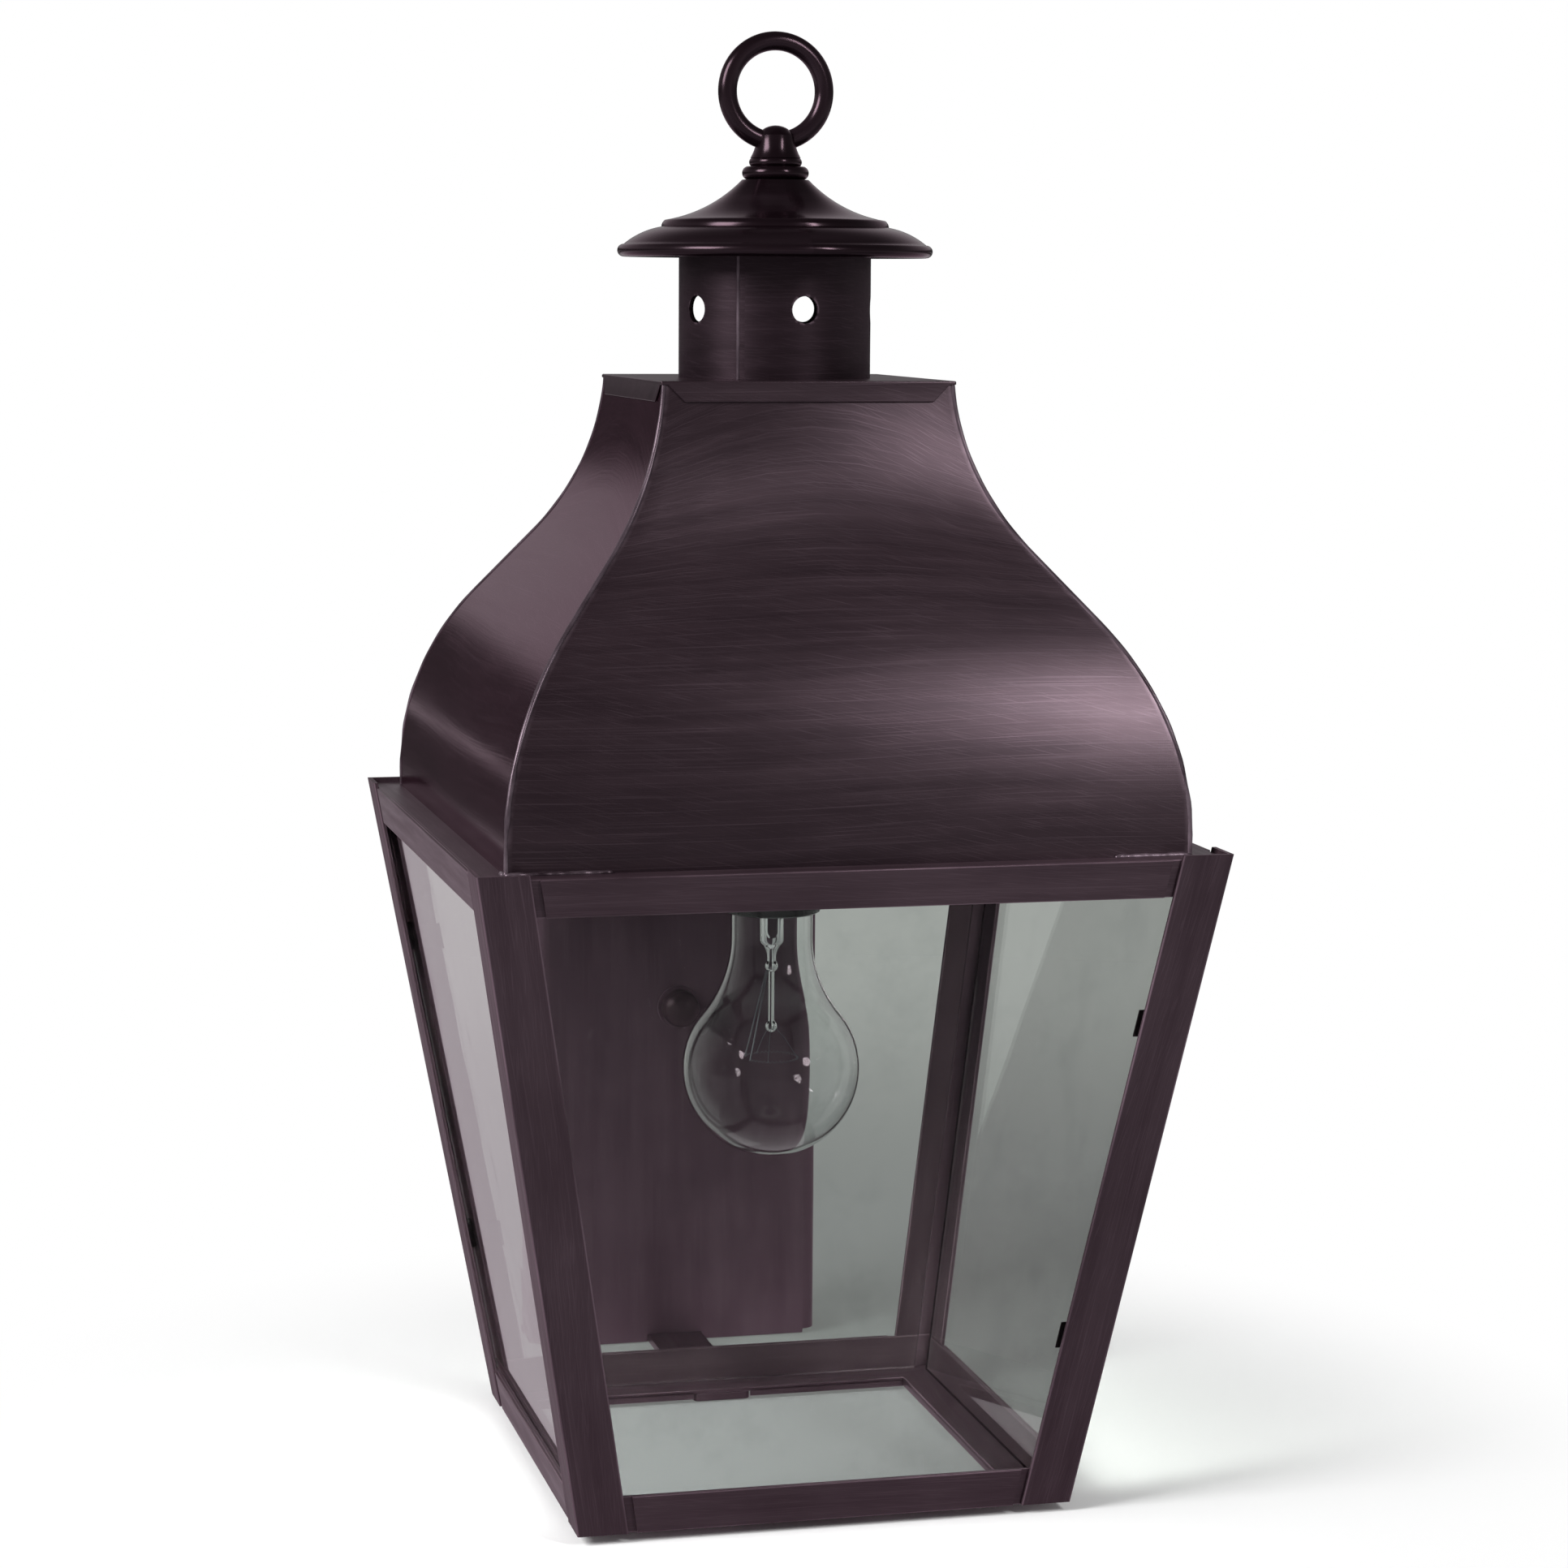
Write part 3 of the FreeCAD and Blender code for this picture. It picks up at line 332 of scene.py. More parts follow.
def oblong(near, far, low, high):
    """Four corners, (depth, height), of an upright oblong."""
    return [(near, low), (near, high), (far, high), (far, low)]


def wall_outline(low, high, outer, inner):
    """Four corners, (depth, height), of a slab in the front wall between two depths behind its outside."""
    foot, head = half_width(low), half_width(high)
    return [(outer - foot, low), (outer - head, high), (inner - head, high), (inner - foot, low)]


def bar(outline, margin=None, left=None, right=None):
    """A straight bar along X: the eased outline of (depth, height) points carried from one end to the other.
    Without a margin each point runs to the mitre, where its distance to the side equals its distance to the
    front; left and right cut the bar short instead."""
    # The eased outline's mask paints the bar's edges brighter: partly wear, partly a painted highlight.
    outline, rubbed_and_sheen = eased(outline, rail_edge)
    reach = -outline[:, 0] if margin is None else half_width(outline[:, 1]) - margin
    start = -reach if left is None else np.full_like(reach, left)
    end = reach if right is None else np.full_like(reach, right)
    x = start + np.linspace(0, 1, 9)[:, None] * (end - start)
    return np.stack(np.broadcast_arrays(x, *outline.T), -1), rubbed_and_sheen


ledge_half = half_width(ledge_under)
lip = oblong(opening_edge - lip_sheet, opening_edge, lip_low, lip_high)
for quarters, side in enumerate(side_names):
    top = [bar(wall_outline(top_rail_low, ledge_level, rail_face, rail_lap), face_margin),
           bar(wall_outline(top_rail_low, ledge_level, rail_lap, rail_back)),
           bar(oblong(ledge_start - ledge_half, ledge_end - ledge_half, ledge_under, ledge_level))]
    bottom = [bar(wall_outline(0, bottom_rail_high, rail_face, rail_lap), face_margin),
              bar(wall_outline(0, bottom_rail_high, rail_lap, rail_back)),
              bar(oblong(ledge_start - foot_half, opening_edge, 0, bottom_ledge))]
    if side == "back":
        bottom += [bar(lip, right=-strap_offset - strap_half), bar(lip, left=-strap_offset + strap_half)]
    else:
        bottom.append(bar(lip))
    for level, bars in (("top", top), ("bottom", bottom)):
        patches = [patch(quarter_turned(points, quarters), rubbed_and_sheen) for points, rubbed_and_sheen in bars]
        piece(f"{level}_rail_of_{side}", patches,
              frame_bronze, "bronzed_brass", "lantern", f"{level}_rail_{side}")


# Panes
# Four panes of 2.5 mm drawn window glass stand on the bottom ledge behind the rails. The sheet is faintly
# wavy and has the grey green cast of iron in the sand.

def drawn_glass(name, cast, wave, mirror):
    """Clear glass with a cast that is measured through one pane, gentle waves about 25 mm long from drawing,
    and a trace of dried wiping marks. wave is how strong the waves are, and mirror tones what the glass
    reflects head on. Lamps shine through it as through air."""
    finish, tree, shader = new_finish(name)
    place = add_node(tree, "ShaderNodeTexCoord").outputs["Object"]
    relief = add_node(tree, "ShaderNodeBump", {"Height": noise(tree, place, 0.025, 1.0),
                                               "Strength": wave, "Distance": 0.0004})
    wiped = ramp(tree, noise(tree, place, 0.03, 5.0, 0.7), (0.5, 0.8), (0.0, 0.5))
    feed(tree, shader, {"Base Color": blend(tree, wiped, srgb(cast), srgb("#dcdfde")),
                        "Roughness": 0.0,
                        "Transmission Weight": 1.0,
                        "IOR": 1.5,
                        "Specular Tint": srgb(mirror),
                        "Normal": relief})
    ray = add_node(tree, "ShaderNodeLightPath")
    clear = add_node(tree, "ShaderNodeBsdfTransparent", {"Color": srgb(cast)})
    both = add_node(tree, "ShaderNodeMixShader", {0: ray.outputs["Is Shadow Ray"], 1: shader, 2: clear})
    feed(tree, tree.nodes["Material Output"], {"Surface": both})
    return finish


pane_glass = drawn_glass("drawn_window_glass", "#f4f6f4", wave=0.05, mirror="#776a71")
for side in side_names:
    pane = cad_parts["glass_" + side]
    pane.data.materials.clear()
    pane.data.materials.append(pane_glass)


# Pane clips
# Small folded clips of blackened spring sheet, two to a pane, soldered to the front right and back left
# posts. Their fingers press the panes outwards against the rails.

flat_within = math.radians(0.2)
along_x, along_y, along_z = np.eye(3)


def eased_copy(node, radius, grain, finish, slot):
    """The lantern's CAD node in its own form, its loose triangles merged into whole flat faces and its edges
    rounded over by a radius in metres. The UV map runs along the grain direction and, across it, along the
    sum of the other two directions."""
    form = bmesh.new()
    form.from_mesh(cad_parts[node].data)
    bmesh.ops.remove_doubles(form, verts=form.verts, dist=weld_gap)
    bmesh.ops.dissolve_limit(form, angle_limit=flat_within, verts=form.verts, edges=form.edges)
    mesh = bpy.data.meshes.new(node + "_eased")
    form.to_mesh(mesh)
    form.free()
    corners = np.empty(len(mesh.loops), int)
    mesh.loops.foreach_get("vertex_index", corners)
    points = np.empty(len(mesh.vertices) * 3)
    mesh.vertices.foreach_get("co", points)
    points = points.reshape(-1, 3)[corners]
    along = points @ grain
    strokes = np.stack([along, points.sum(1) - along], -1)
    mesh.uv_layers.new(name="brushing").data.foreach_set("uv", strokes.ravel())
    thing = dressed(node + "_eased", mesh, finish, slot, "lantern", node)
    rounding = thing.modifiers.new("rounded_edges", "BEVEL")
    rounding.width = radius
    rounding.segments = 2
    rounding.limit_method = "ANGLE"
    rounding.angle_limit = sharp_from
    rounding.harden_normals = True


clip_black = bronzed_brass("blackened_brass_clip", "#140f12", "#1d171a", "#3b3036",
                           satin=(0.4, 0.55), stroke=(0.02, 0.0006), sway=0.001, cross=20)
eased_copy("glass_clips", 0.00015, along_z, clip_black, "bronzed_brass")


# Roof panels
# Four panels of 1.2 mm sheet rolled to an ogee, mitred to each other and soldered along the hips, then
# bronzed and brushed across. The solder is dressed thin up the hips and is lumpier at the foot, where it is
# painted brighter than the sheet: partly wear and partly a painted highlight.

roof_half = 109.5
roof_sheet = 1.2
roof_narrowing = 61.6
skirt_top = 224.0
shoulder_radius, neck_radius = 103.0, 94.5
roof_slope, neck_slope = 39.3, 4.0
hip_margin = np.array([0.0, 0.6, 2.5])
hip_sunk = 0.42
hip_bead = 0.8
hip_waver = 0.15
dressed_from, dressed_to = 235.0, 268.0
foot_wear_and_sheen, dressed_wear_and_sheen = 0.85, 0.2
base_bead = 0.85
left_tack, side_tack, right_tack = 34, 5, 26


def arc(centre, radius, start, end, count):
    """Points on a circle between two angles in degrees."""
    angle = np.radians(np.linspace(start, end, count))
    return np.stack([centre[0] + radius * np.cos(angle), centre[1] + radius * np.sin(angle)], -1)


def ogee(depth):
    """The roof's profile, (half width, height), at a depth under its outside: an upright skirt, a shoulder
    arc, a straight run at the slope and a hollow neck arc, each tangent to the next."""
    shoulder = arc((roof_half - shoulder_radius, skirt_top), shoulder_radius - depth, 0, roof_slope, 28)
    drop, rise = math.sin(math.radians(roof_slope)), math.cos(math.radians(roof_slope))
    by_arcs = shoulder_radius * (1 - rise) + neck_radius * (math.cos(math.radians(neck_slope)) - rise)
    run = (roof_narrowing - by_arcs) / drop
    foot = shoulder[-1] + run * np.array([-drop, rise])
    hollow = arc(foot + (neck_radius + depth) * np.array([rise, drop]), neck_radius + depth,
                 180 + roof_slope, 180 + neck_slope, 28)
    return np.concatenate([[(roof_half - depth, ledge_level)], shoulder, hollow])


roof_outside = ogee(0.0)
roof_inside = ogee(roof_sheet)
roof_loop = np.concatenate([roof_outside, roof_inside[::-1]])
across = np.concatenate([hip_margin[:, None] - roof_loop[:, 0],
                         np.linspace(-0.9, 0.9, 7)[:, None] * (roof_loop[:, 0] - hip_margin[-1]),
                         roof_loop[:, 0] - hip_margin[::-1, None]])
roof_points = np.stack(np.broadcast_arrays(across, -roof_loop[:, 0], roof_loop[:, 1]), -1)
# The sheet's edges at the hips and the mitres are painted brighter: partly wear, partly a painted highlight.
hip_rub_and_sheen = np.zeros(len(across))
hip_rub_and_sheen[[0, 1, -2, -1]] = (1, 0.5, 0.5, 1)
roof_brushed = bronzed_brass("bronzed_brass_brushed_roof", "#271b21", "#32252b", "#7a6872",
                             satin=(0.28, 0.32), stroke=(0.06, 0.0005), sway=0.006, cross=16, drawn=0.75)
roof_burnished = bronzed_brass("bronzed_brass_burnished_roof", "#24131b", "#2c1922", "#6a5862",
                               satin=(0.1, 0.16), stroke=(0.08, 0.0008), sway=0.02, cross=8, glance="#c898b0")
for quarters, side in enumerate(side_names):
    patches = [patch(quarter_turned(roof_points, quarters), hip_rub_and_sheen[:, None], ends=False)]
    for hand in (-1, 1):
        mitre = np.stack([np.stack([hand * edge[:, 0], -edge[:, 0], edge[:, 1]], -1)
                          for edge in (roof_outside, roof_inside)])
        patches.append(patch(quarter_turned(mitre, quarters), 1.0, around=False, ends=False))
    piece("roof_sheet_" + side, patches, roof_burnished if side == "left" else roof_brushed,
          "bronzed_brass", "lantern", "roof_panel_" + side)


def wire(path, radius, sides=12):
    """A round wire along a path of points: a circle set square to the way of the path at each point."""
    path = np.asarray(path, float)
    way = np.gradient(path, axis=0)
    way /= np.linalg.norm(way, axis=1, keepdims=True)
    side = np.cross(way, np.array([0.31, 0.87, 0.39]))
    side /= np.linalg.norm(side, axis=1, keepdims=True)
    angle = np.linspace(0, 2 * math.pi, sides, endpoint=False)[None, :, None]
    circle = np.cos(angle) * side[:, None] + np.sin(angle) * np.cross(way, side)[:, None]
    return path[:, None] + np.broadcast_to(radius, len(path))[:, None, None] * circle


def solder(start, end, radius, phase):
    """A dressed solder bead between two points: a wire whose radius wavers by two sines of the distance and
    shrinks to nothing at its ends."""
    t = np.linspace(0, 1, 60)
    way = np.subtract(end, start)
    walk = t * np.linalg.norm(way)
    waver = 1 + 0.11 * np.sin(walk / 1.7 + phase) + 0.06 * np.sin(walk / 0.63 + 2 * phase)
    return wire(start + t[:, None] * way, radius * waver * np.minimum(1, 4 * np.sqrt(t * (1 - t))))


solder_bronze = bronzed_brass("dressed_solder_bronzed", "#2b2026", "#4c3f47", "#8b7b85",
                              satin=(0.28, 0.38), stroke=(0.012, 0.0008), sway=0.002, cross=20)
hip_path = np.stack([roof_outside[:, 0] - hip_sunk, hip_sunk - roof_outside[:, 0], roof_outside[:, 1]], -1)
hip_walk = walked(hip_path, 0)
# The hip bead is painted brighter towards the foot: partly wear, partly a painted highlight.
hip_wear_and_sheen = np.interp(roof_outside[:, 1], (dressed_from, dressed_to), (foot_wear_and_sheen, dressed_wear_and_sheen))
for quarters, corner_name in enumerate(corner_names):
    waver = np.sin(hip_walk / 5.3 + quarters) + np.sin(hip_walk / 2.1 + 2 * quarters)
    bead = wire(hip_path, hip_bead + hip_waver * hip_wear_and_sheen * waver)
    piece("hip_solder_" + corner_name, [patch(quarter_turned(bead, quarters), hip_wear_and_sheen[:, None])],
          solder_bronze, "bronzed_brass", "lantern")
base = roof_half + 0.45
base_level = ledge_level + 0.2
# The tacks along the roof's foot are painted brighter: partly wear, partly a painted highlight.
tacks = [((-base, -base, base_level), (left_tack - base, -base, base_level), 0.7),
         ((-base, -base, base_level), (-base, side_tack - base, base_level), 0.7),
         ((base - right_tack, -base, base_level), (base, -base, base_level), 0.25)]
piece("base_solder",
      [patch(solder(start, end, base_bead, phase), wear_and_sheen) for phase, (start, end, wear_and_sheen) in enumerate(tacks)],
      solder_bronze, "bronzed_brass", "lantern")


# Roof plate
# A square of 1.2 mm sheet that closes the roof under the chimney. Its four flanges are cut at the corners,
# turned down over the panels and soldered.

eased_copy("roof_top_plate", 0.00025, along_x, roof_brushed, "bronzed_brass")


# Chimney
# A tube rolled from 1 mm sheet with a soldered seam, pierced by five round vents and brushed round. It
# stands on the roof plate and lets the warm air out under the cap.

tube_radius = 31.7
tube_sheet = 1.0
tube_foot, tube_top = 364.67, 415.6
vent_count = 5
vent_radius = 4.4
vent_level = tube_foot + 22.4
vent_turn = math.radians(4.6)
rays_a_side = 8
seam_turn = math.radians(-35.7)
seam_top = 408.0
seam_bead = 0.6
seam_sunk = 0.35
seam_wear = 0.5


def about_axis(radius, angle, height):
    """Points at a radius and a height, turned about the upright axis from the front towards the right."""
    return np.stack(np.broadcast_arrays(radius * np.sin(angle), -radius * np.cos(angle), height), -1)


def vent_share(skin, turn):
    """One vent's share of a tube's skin: rays from the vent's edge out to the oblong border of the share, on
    the flat, then wrapped round the axis by angle = sideways distance / outer radius."""
    width = math.pi * tube_radius / vent_count
    above, below = tube_top - vent_level, vent_level - tube_foot
    up, down = math.atan2(above, width), math.atan2(below, width)
    bounds = (-down, up, math.pi - up, math.pi + down, 2 * math.pi - down)
    angle = np.concatenate([np.linspace(start, end, rays_a_side, endpoint=False)
                            for start, end in zip(bounds[:-1], bounds[1:])])
    ray = np.stack([np.cos(angle), np.sin(angle)], -1)
    room = np.where(ray[:, 1] > 0, above, below)
    far = np.minimum(width / np.maximum(abs(ray[:, 0]), 1e-9), room / np.maximum(abs(ray[:, 1]), 1e-9))
    step = np.array([0, 0.04, 0.12, 0.3, 0.6, 1.0])[:, None]
    flat = (vent_radius + step * (far - vent_radius))[..., None] * ray
    return about_axis(skin, flat[..., 0] / tube_radius + turn, vent_level + flat[..., 1]), flat


# The stack's bronze is painted much darker than the frame's: painted shade.
stack_bronze_painted_dark = bronzed_brass("bronzed_brass_stack_painted_dark", "#160c11", "#1e1319", "#5d4d56", satin=(0.36, 0.44),
                             stroke=(0.04, 0.0006), sway=0.01, cross=10, drawn=0.2, glance="#ecd2e0")
top_run = np.arange(rays_a_side, 2 * rays_a_side + 1)
foot_run = np.arange(3 * rays_a_side, 4 * rays_a_side + 1) % (4 * rays_a_side)
patches = []
for share in range(vent_count):
    turn = vent_turn + share * 2 * math.pi / vent_count
    outside, flat = vent_share(tube_radius, turn)
    inside, flat = vent_share(tube_radius - tube_sheet, turn)
    # The vent rims are painted brighter: partly wear, partly a painted highlight.
    rub_and_sheen = np.zeros((len(outside), 1))
    rub_and_sheen[0] = 1.0
    patches += [patch(outside, rub_and_sheen, ends=False, flat=flat), patch(inside, ends=False, flat=flat),
                patch(np.stack([outside[0], inside[0]]), ends=False)]
    patches += [patch(np.stack([outside[-1, run], inside[-1, run]]), around=False, ends=False)
                for run in (top_run, foot_run)]
piece("chimney_sheet", patches, stack_bronze_painted_dark, "bronzed_brass", "lantern", "chimney_tube")
seam = about_axis(tube_radius - seam_sunk, seam_turn, np.linspace(tube_foot, seam_top, 40))
piece("chimney_seam", [patch(wire(seam, seam_bead), seam_wear)], solder_bronze, "bronzed_brass", "lantern")


# Spun cap
# One disc of sheet spun over a former: a hollow cone, a step and a drooping brim with a rolled rim. The
# lathe leaves fine rings and the lacquer is smooth; its bronze, as on the finial, is painted much darker than
# the frame's, a painted shade.

rod_hole = 4.85
cap_sheet = 0.9
cone_top, step_head, step_foot = (11.0, 429.27), (36.3, 416.07), (37.5, 413.87)
rim_at = (49.9, 406.07)
rim_radius = 2.1


def bow(start, end, sag, count=14):
    """Points on the circular arc between two profile points, its middle by sag to the left of the way."""
    start, end = np.asarray(start, float), np.asarray(end, float)
    chord = np.linalg.norm(end - start)
    way = (end - start) / chord
    left = np.array([-way[1], way[0]])
    radius = (chord ** 2 / 4 + sag ** 2) / (2 * sag)
    angle = np.linspace(-1, 1, count)[:, None] * math.asin(chord / 2 / radius)
    return (start + end) / 2 + left * (sag - radius) + radius * (left * np.cos(angle) + way * np.sin(angle))


def turned(profile, count=96):
    """A profile of (radius, height) points carried once round the upright axis."""
    return about_axis(profile[:, :1], np.linspace(0, 2 * math.pi, count, endpoint=False), profile[:, 1:])


def closed_profile(*runs):
    """Runs of profile points joined in order, with the first point again at the end."""
    points = np.concatenate([np.atleast_2d(np.asarray(run, float)) for run in runs])
    return np.concatenate([points, points[:1]])


def round_patch(points):
    """The patch of a closed profile that goes round an axis, with its grain running round too."""
    return patch(points, ends=False, grain_around=True)


# The cap's and finial's bronze is painted much darker than the frame's: painted shade.
stack_smooth_painted_dark = bronzed_brass("bronzed_brass_spun_painted_dark", "#12090d", "#190f14", "#4d3d46",
                             satin=(0.16, 0.22), stroke=(0.3, 0.02), sway=0.0, cross=3, drawn=0.1,
                             glance="#dcc0ce")
cap_skin = np.concatenate([bow(cone_top, step_head, -2.3), bow(step_head, step_foot, 0.3, 5)[1:],
                           bow(step_foot, (rim_at[0], rim_at[1] + rim_radius), 0.9)[1:]])
cap_profile = closed_profile((rod_hole, cone_top[1]), cap_skin, arc(rim_at, rim_radius, 90, -90, 14)[1:],
                             (cap_skin - (0.0, cap_sheet))[::-1], (rod_hole, cone_top[1] - cap_sheet))
piece("spun_cap", [round_patch(turned(cap_profile))], stack_smooth_painted_dark, "bronzed_brass", "lantern", "chimney_cap")


# Finial
# A knob turned from brass bar, with a bead, a collar and a domed body, screwed on the rod over the cap. The
# ring of 6 mm rod is brazed through the knob.

knob_foot, bead_top, collar_top, body_top = 429.37, 433.57, 436.37, 443.77
thread_end = 435.5
dome_rise, dome_radius, dome_start = 3.2, 7.606, 54.6
ring_radius, ring_rod, ring_level = 16.3, 3.1, 457.97

dome = arc((0, body_top + dome_rise - dome_radius), dome_radius, dome_start, 90, 10)
knob_profile = closed_profile((rod_hole, knob_foot),
                              bow((9.6, knob_foot), (9.6, bead_top), -1.4, 10),
                              bow((8.0, bead_top), (8.0, collar_top), -0.7, 8),
                              bow((8.3, collar_top), (6.2, body_top), 0.5, 10),
                              dome[1:], (0, thread_end), (rod_hole, thread_end))
piece("knob", [round_patch(turned(knob_profile, count=64))],
      stack_smooth_painted_dark, "bronzed_brass", "finial", "finial_knob")
ring_angle = np.linspace(0, 2 * math.pi, 97)[:, None]
rod_angle = np.linspace(0, 2 * math.pi, 32, endpoint=False)
ring_reach = ring_radius + ring_rod * np.cos(rod_angle)
ring_points = np.stack(np.broadcast_arrays(ring_reach * np.sin(ring_angle), ring_rod * np.sin(rod_angle),
                                           ring_level - ring_reach * np.cos(ring_angle)), -1)
piece("ring", [patch(ring_points, ends=False)], stack_smooth_painted_dark, "bronzed_brass", "finial", "finial_ring")


# Lamp rod
# A hollow threaded rod hangs from a flat bar under the roof plate and holds the cap, the finial and the
# lampholder together with hexagon nuts. All of it is zinc-plated steel.

rod_radius, rod_bore = 4.8, 3.2
rod_pitch, rod_thread = 0.94, 0.35
rod_low, rod_high = 234.2, 435.37


def plain_metal(name, colour, bloom):
    """A plain metal of the fittings, such as zinc plate, brass, aluminium or tungsten: its tone turns to a
    paler bloom in clouds about 8 mm wide, its gloss softens with them, and it has a faint grain."""
    finish, tree, shader = new_finish(name)
    place = add_node(tree, "ShaderNodeTexCoord").outputs["Object"]
    clouds = noise(tree, place, 0.008, 4.0)
    relief = add_node(tree, "ShaderNodeBump", {"Height": noise(tree, place, 0.0008, 2.0),
                                               "Strength": 0.1, "Distance": 0.0001})
    feed(tree, shader, {"Base Color": blend(tree, clouds, srgb(colour), srgb(bloom)),
                        "Metallic": 1.0,
                        "Roughness": ramp(tree, clouds, (0.0, 1.0), (0.25, 0.5)),
                        "Normal": relief})
    return finish


def threaded(radius, bore, start, end, pitch, depth):
    """A threaded tube along its own upright axis: the radius falls and rises by depth once in each pitch of
    height, and the wave climbs by one pitch in each turn. The plain bore closes it."""
    turns = int(round((end - start) / pitch))
    height = np.linspace(start, end, turns * 6 + 1)
    angle = np.linspace(0, 2 * math.pi, 20, endpoint=False)
    phase = (height[:, None] - start) / pitch - angle / (2 * math.pi)
    skin = radius - depth * abs(2 * (phase % 1.0) - 1)
    skin = np.concatenate([skin, np.full((2, len(angle)), bore), skin[:1]])
    return about_axis(skin, angle, np.concatenate([height, [end, start, start]])[:, None])


zinc = plain_metal("zinc_plated_steel", "#8d8f92", "#b4b6b8")
rod_points = threaded(rod_radius, rod_bore, rod_low, rod_high, rod_pitch, rod_thread)
piece("lamp_rod", [round_patch(rod_points)], zinc, "zinc_plated_steel", "lantern", "centre_rod")
eased_copy("bridge_bar", 0.0003, along_x, zinc, "zinc_plated_steel")
eased_copy("rod_nuts", 0.0004, along_z, zinc, "zinc_plated_steel")


# Lampholder
# A dark glazed porcelain cup under a spun brass cap. The brass screw shell inside has a rolled thread, and a
# sprung contact sits on the cup's floor.

cup_bore, cup_radius = 14.15, 19.0
cup_rim, cup_floor, cup_top = 186.0, 214.0, 226.0
contact_level = 212.8
lamp_pitch = 3.63


def glossy_skin(name, colour, shade):
    """A smooth glossy skin, such as glazed porcelain, enamel or moulded nylon: two close tones in clouds
    about 10 mm wide, and a wet gloss that is faintly uneven."""
    finish, tree, shader = new_finish(name)
    clouds = noise(tree, add_node(tree, "ShaderNodeTexCoord").outputs["Object"], 0.01, 3.0)
    relief = add_node(tree, "ShaderNodeBump", {"Height": clouds, "Strength": 0.08, "Distance": 0.0003})
    feed(tree, shader, {"Base Color": blend(tree, clouds, srgb(colour), srgb(shade)),
                        "Roughness": 0.12,
                        "IOR": 1.55,
                        "Normal": relief})
    return finish


def rolled_thread(radius, sheet, start, end, pitch, depth):
    """A thin screw shell: outer and inner skins both wave in and out by a rounded thread, depth times the
    cosine of height / pitch less the turn, so the sheet keeps one thickness."""
    height = np.linspace(start, end, int((end - start) / pitch * 10))
    angle = np.linspace(0, 2 * math.pi, 48, endpoint=False)
    wave = depth * (np.cos(2 * math.pi * height[:, None] / pitch - angle) - 1) / 2
    skin = np.concatenate([radius + wave, (radius - sheet + wave)[::-1], (radius + wave)[:1]])
    return about_axis(skin, angle, np.concatenate([height, height[::-1], height[:1]])[:, None])


porcelain = glossy_skin("dark_glazed_porcelain", "#1f2320", "#2b2f2b")
lamp_brass = plain_metal("lacquered_lamp_brass", "#a98a4e", "#c2a263")
cup_profile = closed_profile((cup_bore, cup_rim + 0.4), (14.6, cup_rim), (15.6, cup_rim),
                             bow((16.3, cup_rim + 0.5), (cup_radius, 193.6), 0.5, 8),
                             (cup_radius, cup_top), (4.0, cup_top), (4.0, cup_floor), (cup_bore, cup_floor))
piece("porcelain_cup", [round_patch(turned(cup_profile))],
      porcelain, "porcelain", "lantern", "lampholder_body")
shell_points = rolled_thread(radius=14.1, sheet=0.5, start=190.5, end=contact_level,
                             pitch=lamp_pitch, depth=0.5)
piece("screw_shell", [round_patch(shell_points)], lamp_brass, "lamp_brass", "lantern", "lampholder_shell")
contact_profile = closed_profile((0, contact_level), (2.4, 212.85), (4.5, 213.4), (4.5, cup_floor),
                                 (0, cup_floor))
piece("centre_contact", [round_patch(turned(contact_profile, count=32))],
      lamp_brass, "lamp_brass", "lantern", "lampholder_contact")
holder_profile = closed_profile((19.05, 218.0), (19.85, 218.0), bow((19.85, cup_top), (7.05, 235.0), -2.25),
                                (7.05, 242.0), (rod_hole, 242.0), (rod_hole, rod_low),
                                bow((7.05, rod_low), (19.05, cup_top), 2.25))
piece("holder_cap", [round_patch(turned(holder_profile))],
      lamp_brass, "lamp_brass", "lantern", "lampholder_cap")


# Bulb
# A clear blown bulb, 60 mm across, hangs cap upwards. A flared glass stem is pinched round the lead wires and
# ends in a thin rod whose button carries the supports of the coiled tungsten filament.

globe_radius, globe_level = 30.0, 132.52
neck_centre, neck_hollow = (53.8, 177.3), 40.0
bulb_wall = 0.8
screw_foot, screw_top = 189.3, 207.0
filament_radius, filament_level = 9.0, 136.0
coil_radius, coils_a_turn = 0.3, 42
lead_turns, support_turns = (205, 155), (250, 0, 110)


def blown_outline(depth):
    """The bulb's skin, (radius, height), at a depth under its outside: a globe arc from the bottom pole, then
    a hollow arc of 40 mm radius that draws it up to the neck."""
    meeting = math.degrees(math.atan2(neck_centre[1] - globe_level, neck_centre[0]))
    globe = arc((0, globe_level), globe_radius - depth, -90, meeting, 44)
    neck = arc(neck_centre, neck_hollow + depth, 180 + meeting, 180, 24)
    return np.concatenate([globe, neck[1:]])


def spoke(profile, turn):
    """A path of (reach, height) points that leaves the axis in one direction, an angle in degrees."""
    reach, height = np.asarray(profile, float).T
    turn = math.radians(turn)
    return np.stack([reach * math.cos(turn), reach * math.sin(turn), height], -1)


